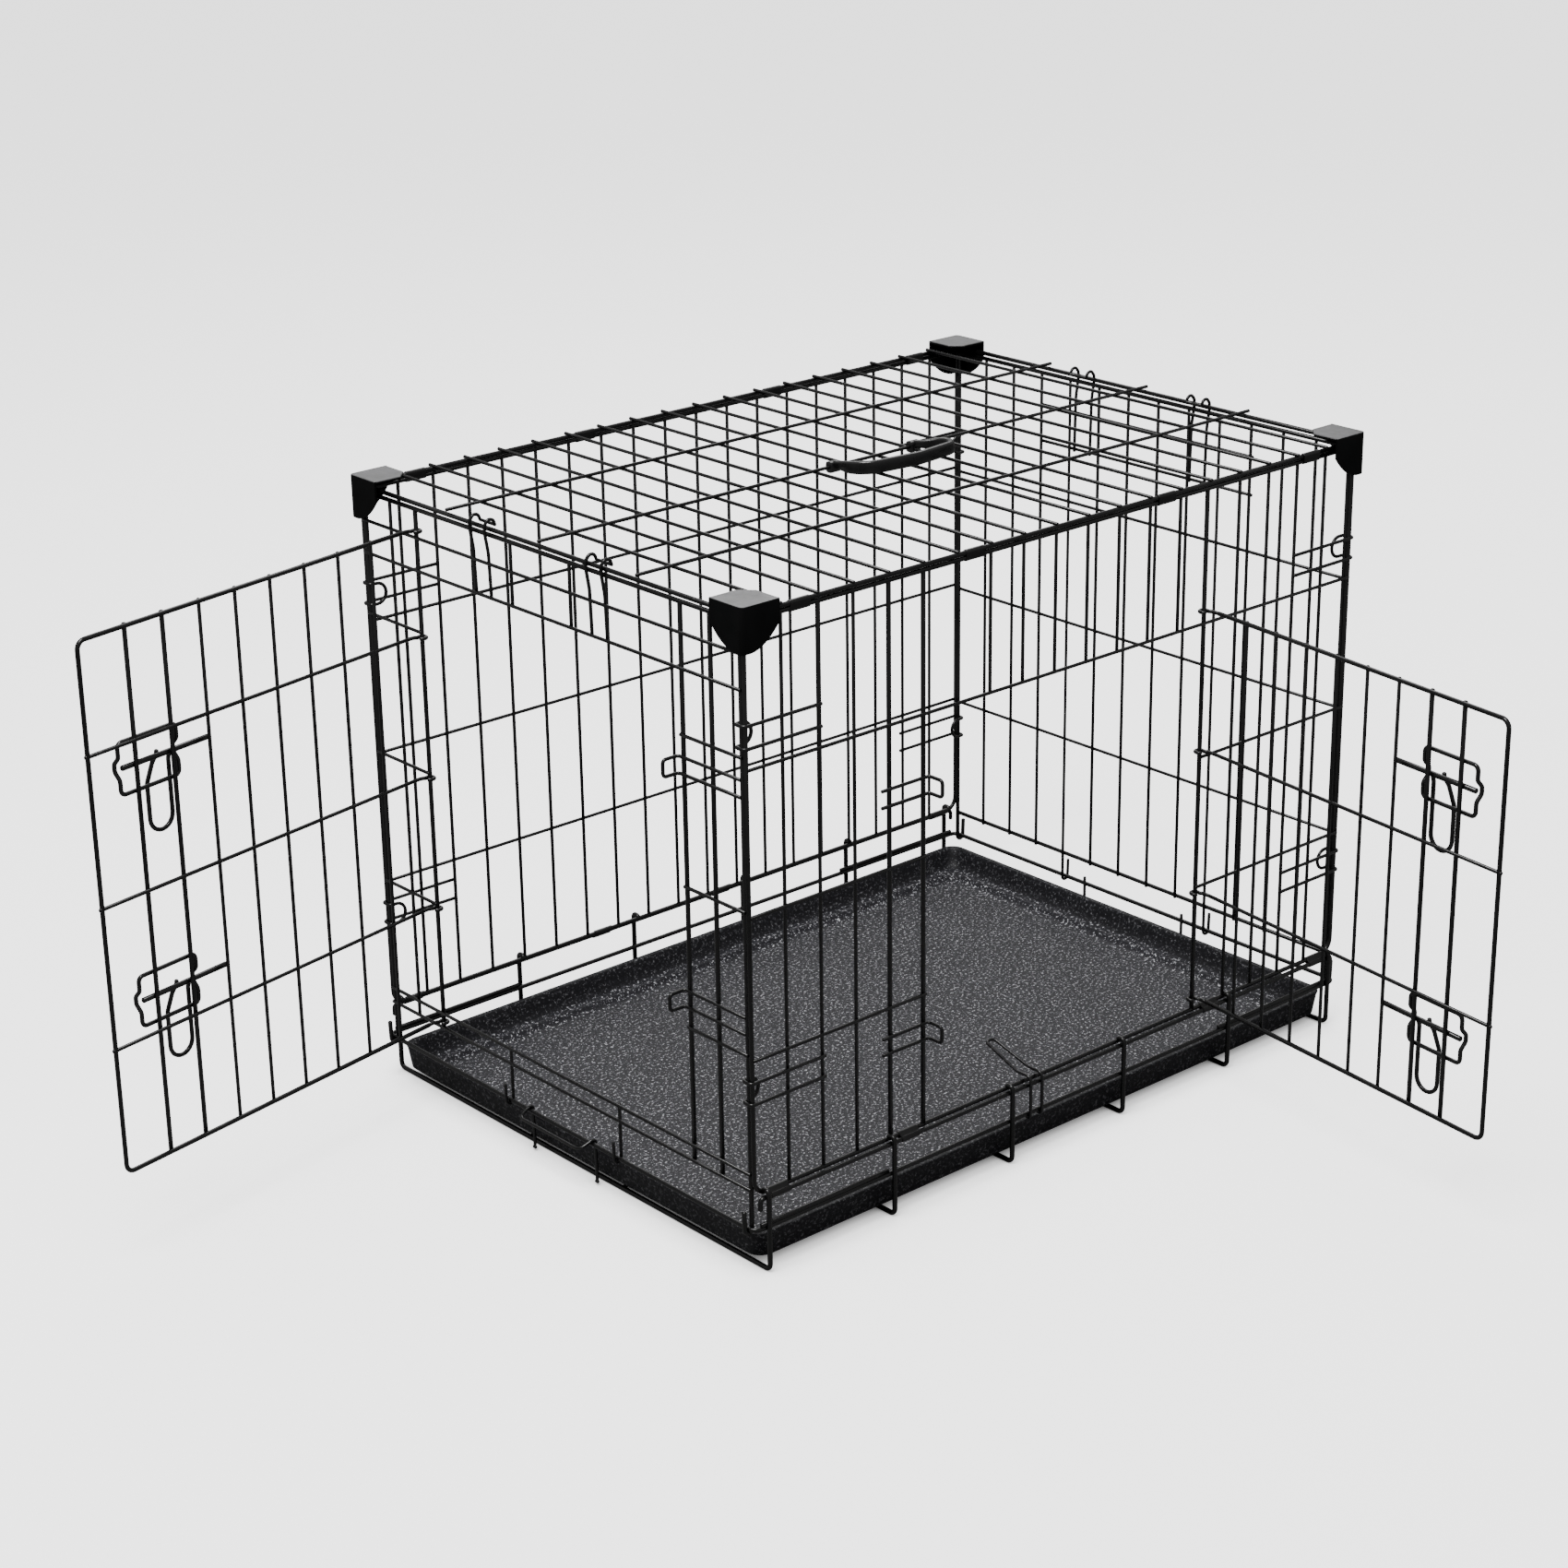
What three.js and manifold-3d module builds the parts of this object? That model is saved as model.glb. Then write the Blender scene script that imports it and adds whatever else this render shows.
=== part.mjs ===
// Wire dog crate with two hinged doors, slide bolts, a slide-out tray and a carry handle.
// Millimetres, +Z up. Built with the near corner post at (0, 0) and the ground at z = 0: X runs along
// the long panels, Y runs from the front panel to the back one. The group is then moved so that its
// origin is the middle of the tray's floor.
import * as THREE from 'three';
import * as BufferGeometryUtils from 'three/addons/utils/BufferGeometryUtils.js';
import Module from 'manifold-3d';

const wasm = await Module();
wasm.setup();

// ---- driving dimensions ----
const crateLength = 762; // post to post along X
const crateWidth = 539; // front panel to back panel
const topHeight = 601; // ground to the axis of the top panel's edge rods
const gridRadius = 1.2; // thin grid wire
const frameRadius = 1.8; // edge wires, posts, jambs and hinge wires
const hookRadius = 1.5; // hooks, loops and keepers
const footRadius = 2.3; // the six cross wires that stand on the ground
const boltRadius = 2.5; // door bolt rods
const weld = 0.4; // how far crossing wires sink into each other
const gap = 0.4; // clearance between separate pieces
const sidesOf = (radius) => (radius > frameRadius ? 6 : 4);

// ---- grid of the long panels ----
const gridCells = 19;
const pitch = crateLength / gridCells;
const panelBottom = 75.5; // axis of the long panels' bottom wires
const levelTop = 601; // the top height that levels are written for
const levelScale = (topHeight - panelBottom) / (levelTop - panelBottom);
const level = (z) => panelBottom + (z - panelBottom) * levelScale; // a height that moves with the top
const rowHeights = [204, 336, 468].map(level); // long horizontals of the front and back panels
const cornerRadius = 14; // bottom corners of the long panels
const overhang = 5; // how far the top panel's wires stick out at their far ends
const wireStart = 2; // and at their near ends

// ---- doors ----
const hingeCell = 14; // the front panel's upright that carries the side door
const sideOpening = { jamb: 5 * pitch, hinge: (hingeCell - 0.1) * pitch };
const endOpening = { jamb: 80, hinge: crateWidth - 84 };
const sideDoorRows = [86.5, 197, 341, 479].map(level);
const endDoorRows = [85, 203, 335, 473, 574.5].map(level);
const sideDoorLap = 18; // how far the door's outer edge passes its jamb
const endDoorLap = 16;
const sideDoorOpen = 83.6; // angle from shut, as built
const endDoorOpen = 79.7;
const doorOffset = 6.2; // door plane to hinge axis
const doorCorner = 8;
const doorStart = 12; // hinge axis to the near end of the door's cross wires
const firstDoorWire = 50; // hinge axis to the first upright of a door
const lastDoorWire = 53; // last upright to the outer edge
const doorUprights = 8;
const rowOverhang = 3; // how far a door's rows pass its outer edge
const sideBoltHeights = [168, 402].map(level);
const endBoltHeights = [233.5, 449].map(level);
const receiverRise = 2; // end panel receivers sit this far above the bolts
const headerHeights = [537.5, 569].map(level);
const endBottomHeights = [80, 95];
const rowStep = 5.5; // end panel rows sit this far above the door's rows

// ---- base frame and tray ----
const railOut = 4.2; // long rails to the panel plane
const upperRail = 72;
const lowerRail = 43;
const endRailOut = frameRadius * 2 + gap; // end rails to the end panel plane
const footCount = 6;
const firstFoot = 0.25 * pitch;
const trayClear = 4; // tray to the end panels
const trayHeight = 29;
const trayWall = 3;
const trayCorner = 25;
const traySideClear = 1;
const trayLift = 0.3; // clearance over the ground wires

const postGap = 0.6; // between a long panel's post and the end panel's post
const endPanelInset = 2 * frameRadius + postGap; // end posts to the long panels' planes
const longTopGap = 1; // between the top panel's edge rods and the panels below them
const endTopGap = 2;
const endPanelTop = topHeight - 2 * frameRadius - endTopGap;
const longPanelTop = topHeight - 2 * frameRadius - longTopGap;
const receiverLap = 5; // jamb to a receiver's closed end
const jambLap = 2; // how far short rows run past a jamb or a hinge wire
const footAxis = footRadius * Math.cos(Math.PI / sidesOf(footRadius));
const trayBottom = 2 * footAxis + trayLift;
const trayFloor = trayBottom + trayWall;

// ---- materials ----
const paint = () => new THREE.MeshStandardMaterial({ color: 0x141414, roughness: 0.42, metalness: 0.3 });
const plastic = (color) => new THREE.MeshStandardMaterial({ color, roughness: 0.55, metalness: 0 });

// ---- helpers ----
const v = (x, y, z) => new THREE.Vector3(x, y, z);
const rad = THREE.MathUtils.degToRad;

function toSolid(geometry) {
  const g = geometry.clone();
  g.deleteAttribute('normal');
  g.deleteAttribute('uv');
  const merged = BufferGeometryUtils.mergeVertices(g, 1e-4);
  return new wasm.Manifold(new wasm.Mesh({
    numProp: 3,
    vertProperties: new Float32Array(merged.attributes.position.array),
    triVerts: new Uint32Array(merged.index.array),
  }));
}

function toGeometry(solid) {
  const mesh = solid.getMesh();
  const g = new THREE.BufferGeometry();
  g.setAttribute('position', new THREE.BufferAttribute(new Float32Array(mesh.vertProperties), 3));
  g.setIndex(new THREE.BufferAttribute(new Uint32Array(mesh.triVerts), 1));
  g.computeVertexNormals();
  return g;
}

const joined = (geometries) => toGeometry(wasm.Manifold.union(geometries.map(toSolid)));

function section(radius, turn = 0) {
  const shape = new THREE.Shape();
  const sides = sidesOf(radius);
  for (let i = 0; i < sides; i += 1) {
    const a = turn + (2 * Math.PI * i) / sides;
    const [x, y] = [radius * Math.cos(a), radius * Math.sin(a)];
    if (i === 0) shape.moveTo(x, y);
    else shape.lineTo(x, y);
  }
  return shape;
}

// a straight wire; one edge of its section points along `ridge`
function rod(from, to, radius, ridge) {
  const along = to.clone().sub(from);
  const g = new THREE.ExtrudeGeometry(section(radius), { depth: along.length(), bevelEnabled: false });
  const z = along.normalize();
  const y = z.clone().cross(ridge).normalize();
  const x = y.clone().cross(z);
  g.applyMatrix4(new THREE.Matrix4().makeBasis(x, y, z).setPosition(from));
  return g;
}

// a polyline whose stations are its own points
class BentLine extends THREE.Curve {
  constructor(points) {
    super();
    this.points = points;
  }

  getPointAt(u) {
    return this.points[Math.round(u * (this.points.length - 1))].clone();
  }

  getPoint(u) {
    return this.getPointAt(u);
  }

  getSpacedPoints() {
    return this.points.map((p) => p.clone());
  }

  getTangentAt(u) {
    const last = this.points.length - 1;
    const i = Math.round(u * last);
    const before = this.points[Math.max(i - 1, 0)];
    const after = this.points[Math.min(i + 1, last)];
    if (i === 0 || i === last) return after.clone().sub(before).normalize();
    const here = this.points[i];
    const a = here.clone().sub(before).normalize();
    const b = after.clone().sub(here).normalize();
    return a.add(b).normalize();
  }
}

// rounds the inner corners of a list of points with arcs of about the given radius
function rounded(points, radius, steps = 2) {
  const out = [points[0]];
  for (let i = 1; i < points.length - 1; i += 1) {
    const toBack = points[i - 1].clone().sub(points[i]);
    const toFront = points[i + 1].clone().sub(points[i]);
    const bend = Math.PI - toBack.angleTo(toFront);
    const cut = Math.min(radius * Math.tan(bend / 2), toBack.length() * 0.45, toFront.length() * 0.45);
    const a = points[i].clone().add(toBack.setLength(cut));
    const b = points[i].clone().add(toFront.setLength(cut));
    const arc = new THREE.QuadraticBezierCurve3(a, points[i], b);
    out.push(...arc.getPoints(steps));
  }
  out.push(points[points.length - 1]);
  return out;
}

function bent(points, radius) {
  const path = new BentLine(points);
  return new THREE.ExtrudeGeometry(section(radius, Math.PI / sidesOf(radius)), {
    steps: points.length - 1,
    extrudePath: path,
    bevelEnabled: false,
  });
}

// a closed ring of wire: two halves that share their ends
function closedWire(points, radius) {
  const half = Math.floor(points.length / 2);
  const first = points.slice(0, half + 1);
  const second = [...points.slice(half), points[0]];
  return [bent(first, radius), bent(second, radius)];
}

const crate = new THREE.Group();

function add(name, geometry, material, place = crate) {
  const mesh = new THREE.Mesh(geometry, material);
  mesh.name = name;
  place.add(mesh);
  return mesh;
}

// ---- long panels ----
const gridPlane = gridRadius * 2 - weld; // a thin wire lying on a thin wire
const thickPlane = frameRadius + gridRadius - weld; // a thin wire lying on a thick wire
const hookPlane = gridRadius * (1 + Math.cos(Math.PI / 4)) - 0.1; // a bent wire's flat on a thin wire
const bentPlane = frameRadius + gridRadius * Math.cos(Math.PI / 4) - 0.1; // the same for a bent wire's flat

// out is -1 on the front panel and +1 on the back one
function longFrame(y, out) {
  const ridge = v(0, out, 0);
  const top = longPanelTop;
  const outline = rounded([
    v(0, y, top), v(0, y, panelBottom), v(crateLength, y, panelBottom), v(crateLength, y, top),
  ], cornerRadius);
  return [bent(outline, frameRadius), rod(v(0, y, top), v(crateLength, y, top), frameRadius, ridge)];
}

// a hairpin on the outside of a long panel that wraps round the corner post and the end panel's post,
// and whose closed end comes back inside them
function cornerHook(y, out, atFarEnd, height) {
  const legSpan = 20;
  const reach = 2 * pitch;
  const tail = 1; // how far past the end post it turns
  const [returnEnd, tip] = [4, 14]; // how far its closed end comes back
  const wrap = frameRadius + gap + gridRadius;
  const x = (s) => (atFarEnd ? crateLength - s : s);
  const face = y + out * hookPlane;
  const inner = y - out * (endPanelInset + 2 * frameRadius + tail);
  const leg = (z) => [
    v(x(reach), face, z), v(x(0), face, z), v(x(-wrap), y + out * gap, z), v(x(-wrap), inner, z),
    v(x(returnEnd), inner, z),
  ];
  const closedEnd = v(x(tip), inner, height);
  const path = [...leg(height + legSpan / 2), closedEnd, ...leg(height - legSpan / 2).reverse()];
  return bent(rounded(path, 3), gridRadius);
}

function cornerHooks(y, out) {
  return [173.5, 497].map(level).flatMap((z) => [cornerHook(y, out, false, z), cornerHook(y, out, true, z)]);
}

function upright(x, y, out, bottom, top, radius = gridRadius) {
  return rod(v(x, y, bottom), v(x, y, top), radius, v(0, out, 0));
}

// a U of wire welded across a pair of jambs, whose closed end stands out to take a door bolt
function receiver(place, boltAxis, start, end) {
  const half = 7.75; // bolt axis to each leg
  const depth = 19; // panel plane to the closed end
  const leg = (z) => [place(start, bentPlane, z), place(end, bentPlane, z), place(end, depth, z)];
  const path = [...leg(boltAxis + half), ...leg(boltAxis - half).reverse()];
  return bent(rounded(path, 3), gridRadius);
}

function frontPanel() {
  const y = 0;
  const out = -1;
  const { jamb, hinge } = sideOpening;
  const header = rowHeights[2];
  const wires = [...longFrame(y, out), ...cornerHooks(y, out)];
  for (let i = 1; i < gridCells; i += 1) {
    const x = i === hingeCell ? hinge : i * pitch;
    const overDoor = x > jamb + weld && x < hinge - weld;
    const radius = i === 4 || i === 5 || i === hingeCell ? frameRadius : gridRadius;
    wires.push(upright(x, y, out, overDoor ? header : panelBottom, longPanelTop, radius));
  }
  const face = y + out * gridPlane;
  const ridge = v(0, out, 0);
  wires.push(rod(v(0, face, header), v(crateLength, face, header), gridRadius, ridge));
  for (const z of rowHeights.slice(0, 2)) {
    wires.push(rod(v(0, face, z), v(jamb + jambLap, face, z), gridRadius, ridge));
    wires.push(rod(v(hinge - jambLap, face, z), v(crateLength, face, z), gridRadius, ridge));
  }
  const place = (x, depth, z) => v(x, y + out * depth, z);
  for (const z of sideBoltHeights) wires.push(receiver(place, z, jamb - 51, jamb + receiverLap));
  return joined(wires);
}

function backPanel() {
  const y = crateWidth;
  const out = 1;
  const wires = [...longFrame(y, out), ...cornerHooks(y, out)];
  for (let i = 1; i < gridCells; i += 1) wires.push(upright(i * pitch, y, out, panelBottom, longPanelTop));
  const face = y + out * gridPlane;
  for (const z of rowHeights) {
    wires.push(rod(v(0, face, z), v(crateLength, face, z), gridRadius, v(0, out, 0)));
  }
  return joined(wires);
}

// ---- top panel ----
const crossWireHeight = topHeight + thickPlane;
const longWireHeight = crossWireHeight + gridPlane;

function topPanel() {
  const up = v(0, 0, 1);
  const wires = [];
  for (const y of [0, crateWidth]) {
    const start = v(-frameRadius, y, topHeight);
    wires.push(rod(start, v(crateLength + frameRadius, y, topHeight), frameRadius, up));
  }
  for (const x of [0, crateLength]) {
    wires.push(rod(v(x, 0, topHeight), v(x, crateWidth, topHeight), frameRadius, up));
  }
  for (let i = 1; i < gridCells; i += 1) {
    const x = i * pitch;
    const start = v(x, -wireStart, crossWireHeight);
    wires.push(rod(start, v(x, crateWidth + overhang, crossWireHeight), gridRadius, up));
  }
  for (const share of [1, 2, 3]) {
    const y = (crateWidth * share) / 4;
    const z = longWireHeight;
    wires.push(rod(v(-wireStart, y, z), v(crateLength + overhang, y, z), gridRadius, up));
  }
  return joined(wires);
}

// ---- end panels ----
// side is -1 for the door end and +1 for the rear end; out(d) is d outside the panel's plane
function endPlane(side) {
  const plane = side < 0 ? 0 : crateLength;
  return (d, y, z) => v(plane + side * d, y, z);
}

const postY = [endPanelInset, crateWidth - endPanelInset];

// the foot of an end panel's upright: it comes down inside the end rail, turns under it and up again
function railHook(at, y, top, radius) {
  const turn = endRailOut;
  const tail = 18;
  const path = [at(0, y, top), at(0, y, lowerRail)];
  for (const a of [45, 90, 135]) {
    path.push(at(turn - turn * Math.cos(rad(a)), y, lowerRail - turn * Math.sin(rad(a))));
  }
  path.push(at(2 * turn, y, lowerRail), at(2 * turn, y, lowerRail + tail));
  return bent(path, radius);
}

// a hairpin that stands on the header wires and hooks over the top panel's end rod
function topHook(at, y0, y1, bottom) {
  const clear = frameRadius + hookRadius + gap + 1; // outside the end rod
  const [kinkStart, kinkEnd] = [endPanelTop - 12, endPanelTop - 4];
  const arch = 9; // top of the hook over the end rod
  const shoulder = 3;
  const [crest, fall, tip] = [1, -7, -13]; // depths along the hook, inwards
  const leg = (y) => [
    at(0, y, bottom), at(0, y, kinkStart), at(clear, y, kinkEnd), at(clear, y, topHeight + shoulder),
    at(crest, y, topHeight + arch), at(fall, y, topHeight + arch + 1), at(tip, y, topHeight + shoulder),
  ];
  const path = [...leg(y0), ...leg(y1).reverse()];
  return bent(rounded(path, 3, 1), hookRadius);
}

function endFrame(at, side) {
  const ridge = v(side, 0, 0);
  const wires = postY.map((y) => railHook(at, y, endPanelTop, frameRadius));
  wires.push(rod(at(0, postY[0], endPanelTop), at(0, postY[1], endPanelTop), frameRadius, ridge));
  return wires;
}

function doorEndPanel() {
  const side = -1;
  const at = endPlane(side);
  const ridge = v(side, 0, 0);
  const { jamb, hinge } = endOpening;
  const [low, high] = postY;
  const wires = endFrame(at, side);
  const lap = 1;
  const row = (z, from, to) => rod(at(gridPlane, from, z), at(gridPlane, to, z), gridRadius, ridge);
  const up = (y, from, to, radius) => rod(at(0, y, from), at(0, y, to), radius, ridge);
  for (const z of [...headerHeights, ...endBottomHeights]) wires.push(row(z, low - lap, high + lap));
  wires.push(up(jamb, endBottomHeights[0], endPanelTop, frameRadius));
  wires.push(up((jamb + low) / 2, endBottomHeights[0], endPanelTop, frameRadius));
  wires.push(up(hinge, endBottomHeights[0], endPanelTop, frameRadius));
  wires.push(up((hinge + high) / 2, endBottomHeights[0], endPanelTop, gridRadius));
  for (const z of endDoorRows.slice(1, 4).map((z) => z + rowStep)) {
    wires.push(row(z, low - lap, jamb + jambLap));
    wires.push(row(z, hinge - jambLap, high + lap));
  }
  const middle = crateWidth / 2;
  const headerUprights = [middle - 41, middle + 43];
  const lowerHooks = [middle - 84, middle + 78];
  const upperHooks = [[middle - 91, middle - 70], [middle + 74, middle + 96]];
  const hookEnd = 2; // how far a hook passes the row that it stands on
  for (const y of headerUprights) wires.push(up(y, headerHeights[0], endPanelTop, gridRadius));
  for (const y of lowerHooks) wires.push(railHook(at, y, endBottomHeights[1] + hookEnd, hookRadius));
  for (const [y0, y1] of upperHooks) wires.push(topHook(at, y0, y1, headerHeights[0] - hookEnd));
  const place = (y, depth, z) => at(depth, y, z);
  for (const z of endBoltHeights) wires.push(receiver(place, z + receiverRise, low, jamb + receiverLap));
  return joined(wires);
}

function rearEndPanel() {
  const side = 1;
  const at = endPlane(side);
  const ridge = v(side, 0, 0);
  const [low, high] = postY;
  const cells = 13;
  const step = (high - low) / cells;
  const bottom = 70;
  const lap = 1;
  const hookEnd = 2.5; // how far a hook passes the row that it stands on
  const hookUprights = [4, 9];
  const longRows = [201.5, 332.5, 464.5].map(level);
  const shortRows = [522.5, 561].map(level); // from upright 3 to upright 10
  const wires = endFrame(at, side);
  const row = (z, from, to, radius) => {
    const depth = radius === gridRadius ? gridPlane : thickPlane;
    return rod(at(depth, from, z), at(depth, to, z), radius, ridge);
  };
  for (let i = 1; i < cells; i += 1) {
    const y = low + i * step;
    if (hookUprights.includes(i)) wires.push(railHook(at, y, endPanelTop, hookRadius));
    else wires.push(rod(at(0, y, bottom), at(0, y, endPanelTop), gridRadius, ridge));
  }
  wires.push(row(bottom, low - lap, high + lap, frameRadius));
  for (const z of longRows) wires.push(row(z, low - lap, high + lap, gridRadius));
  for (const z of shortRows) {
    wires.push(row(z, low + 3 * step - jambLap, low + 10 * step + jambLap, gridRadius));
  }
  const middle = crateWidth / 2;
  const upperHooks = [[middle - 84, middle - 64], [middle + 73, middle + 95]];
  for (const [y0, y1] of upperHooks) wires.push(topHook(at, y0, y1, shortRows[0] - hookEnd));
  return joined(wires);
}

// ---- doors: built shut in their own frame, hinge axis at the origin, X outwards along the door,
// Y towards the outside of the crate, then turned open ----
function doorWires(width, rows) {
  const out = v(0, 1, 0);
  const bottom = rows[0];
  const top = rows[rows.length - 1];
  const frame = rounded([
    v(doorStart, doorOffset, top), v(width, doorOffset, top),
    v(width, doorOffset, bottom), v(doorStart, doorOffset, bottom),
  ], doorCorner);
  const wires = [bent(frame, frameRadius)];
  const step = (width - firstDoorWire - lastDoorWire) / (doorUprights - 1);
  for (let i = 0; i < doorUprights; i += 1) {
    const x = firstDoorWire + i * step;
    const radius = i >= doorUprights - 2 ? frameRadius : gridRadius;
    const y = doorOffset + gridRadius + radius - weld;
    wires.push(rod(v(x, y, bottom), v(x, y, top), radius, out));
  }
  for (const z of rows.slice(1, -1)) {
    wires.push(rod(v(doorStart, doorOffset, z), v(width + rowOverhang, doorOffset, z), gridRadius, out));
  }
  return wires;
}

// the curled end of a door's cross wire, round the hinge wire
function doorEye(z) {
  const turn = frameRadius + gridRadius + gap;
  const path = [v(doorStart + 1, doorOffset, z), v(doorStart - 4, doorOffset, z)];
  for (let a = 60; a <= 330; a += 45) {
    path.push(v(turn * Math.cos(rad(a)), turn * Math.sin(rad(a)), z));
  }
  return bent(path, gridRadius);
}

const uprightDepth = doorOffset + gridRadius + 2 * frameRadius - weld; // outer face of the thick uprights
const boltDepth = uprightDepth + gap + boltRadius;
const keeperDepth = uprightDepth + gap + hookRadius;
const keeperHeight = 47;
const boltLength = 98;
const boltStart = 36; // keeper's hinge-side flank to the bolt's start

// a closed wire frame on the door's two thick uprights, with a nose over the bolt on each side
function keeper(left, right, z) {
  const nose = boltDepth + boltRadius + gap + hookRadius;
  const noseHalf = boltRadius + 1;
  const shoulder = 10;
  const half = keeperHeight / 2;
  const flank = (x, s) => [
    v(x, keeperDepth, z + s * half), v(x, keeperDepth, z + s * shoulder), v(x, nose, z + s * noseHalf),
    v(x, nose, z - s * noseHalf), v(x, keeperDepth, z - s * shoulder), v(x, keeperDepth, z - s * half),
  ];
  const corners = [v((left + right) / 2, keeperDepth, z + half), ...flank(right, 1)];
  corners.push(...flank(left, -1), v((left + right) / 2, keeperDepth, z + half));
  const path = rounded(corners, 4, 1);
  return joined(closedWire(path.slice(0, -1), hookRadius));
}

// a hairpin that hangs from the bolt on the outside of the keeper
function boltHandle(left, right, z) {
  const drop = 72;
  const kink = 8; // how far the outer leg steps towards the hinge
  const swing = boltDepth + boltRadius + 3 * hookRadius + 3 * gap;
  const near = boltDepth + boltRadius + hookRadius + gap;
  const path = rounded([
    v(left + 4, near, z), v(left, swing, z - 9), v(left, swing, z - drop), v(right, swing, z - drop),
    v(right, swing, z - 26), v(right - kink + 2, swing, z - 10), v(right - kink, near, z),
  ], 9, 3);
  return bent(path, hookRadius);
}

// mirrored doors have their outside towards -Y
function makeDoor(prefix, pivot, width, rows, bolts, turn, mirrored) {
  const door = new THREE.Group();
  door.position.copy(pivot);
  door.rotation.z = turn;
  crate.add(door);
  const faced = (geometry) => (mirrored ? toGeometry(toSolid(geometry).mirror([0, 1, 0])) : geometry);
  const place = (name, geometry) => add(name, faced(geometry), paint(), door);
  place(prefix, joined([...doorWires(width, rows), ...rows.map(doorEye)]));
  const step = (width - firstDoorWire - lastDoorWire) / (doorUprights - 1);
  const last = width - lastDoorWire;
  const [left, right] = [last - step - 8, last + 16]; // the keeper's flanks
  const [handleStart, handleWidth] = [1, 26];
  bolts.forEach((z, i) => {
    const name = `${prefix}_${i === 0 ? 'lower' : 'upper'}`;
    const from = v(left - boltStart, boltDepth, z);
    const to = v(left - boltStart + boltLength, boltDepth, z);
    place(`${name}_bolt_keeper`, keeper(left, right, z));
    place(`${name}_bolt`, rod(from, to, boltRadius, v(0, 1, 0)));
    place(`${name}_bolt_handle`, boltHandle(left + handleStart, left + handleStart + handleWidth, z));
  });
}

// ---- base frame ----
function baseFrame() {
  const up = v(0, 0, 1);
  const wires = [];
  const railGap = 1; // upper rail's ends to the posts
  const sides = [-railOut, crateWidth + railOut];
  const [x0, x1] = [-endRailOut, crateLength + endRailOut];
  const loop = [
    v(crateLength / 2, sides[0], lowerRail), v(x1, sides[0], lowerRail), v(x1, sides[1], lowerRail),
    v(x0, sides[1], lowerRail), v(x0, sides[0], lowerRail), v(crateLength / 2, sides[0], lowerRail),
  ];
  const ring = rounded(loop, 7);
  wires.push(...closedWire(ring.slice(0, -1), frameRadius));
  for (const y of sides) {
    const start = v(railGap, y, upperRail);
    wires.push(rod(start, v(crateLength - railGap, y, upperRail), frameRadius, v(0, 1, 0)));
  }
  const sink = 0.7; // how far legs and stops sink into the rails
  const legOut = railOut + frameRadius + footRadius - sink;
  const [y0, y1] = [-legOut, crateWidth + legOut];
  const legTop = upperRail + 3;
  for (let i = 0; i < footCount; i += 1) {
    const x = firstFoot + (i * (crateLength - 2 * firstFoot)) / (footCount - 1);
    wires.push(rod(v(x, y0, footAxis), v(x, y1, footAxis), footRadius, v(1, 0, 0)));
    wires.push(rod(v(x, y0, footAxis), v(x, y0, legTop), footRadius, v(0, 1, 0)));
    wires.push(rod(v(x, y1, footAxis), v(x, y1, legTop), footRadius, v(0, 1, 0)));
  }
  const stopX = crateLength + endRailOut - frameRadius - hookRadius + sink;
  const floorWire = 70; // middle of the crate to each wire under the tray
  for (const y of [crateWidth / 2 - floorWire, crateWidth / 2 + floorWire]) {
    const corner = v(stopX, y, footAxis - hookRadius * 0.8);
    wires.push(rod(v(firstFoot - 2, y, footAxis), v(stopX, y, footAxis), hookRadius, up));
    wires.push(rod(corner, v(stopX, y, lowerRail + 2), hookRadius, v(1, 0, 0)));
  }
  return joined(wires);
}

// ---- tray ----
function roundedRectangle(x0, y0, x1, y1, radius) {
  const s = new THREE.Shape();
  s.moveTo(x0 + radius, y0);
  s.lineTo(x1 - radius, y0);
  s.absarc(x1 - radius, y0 + radius, radius, -Math.PI / 2, 0, false);
  s.lineTo(x1, y1 - radius);
  s.absarc(x1 - radius, y1 - radius, radius, 0, Math.PI / 2, false);
  s.lineTo(x0 + radius, y1);
  s.absarc(x0 + radius, y1 - radius, radius, Math.PI / 2, Math.PI, false);
  s.lineTo(x0, y0 + radius);
  s.absarc(x0 + radius, y0 + radius, radius, Math.PI, 1.5 * Math.PI, false);
  return s;
}

function tray() {
  const [x0, x1] = [trayClear, crateLength - trayClear];
  const [y0, y1] = [traySideClear, crateWidth - traySideClear];
  const outer = new THREE.ExtrudeGeometry(roundedRectangle(x0, y0, x1, y1, trayCorner), {
    depth: trayHeight, bevelEnabled: false, curveSegments: 4,
  });
  outer.translate(0, 0, trayBottom);
  const w = trayWall;
  const pocketShape = roundedRectangle(x0 + w, y0 + w, x1 - w, y1 - w, trayCorner - w);
  const pocket = new THREE.ExtrudeGeometry(pocketShape, {
    depth: trayHeight, bevelEnabled: false, curveSegments: 4,
  });
  pocket.translate(0, 0, trayFloor);
  return toGeometry(toSolid(outer).subtract(toSolid(pocket)));
}

// ---- loops that turn on a rail ----
const eyeTurn = frameRadius + hookRadius + gap;

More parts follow.
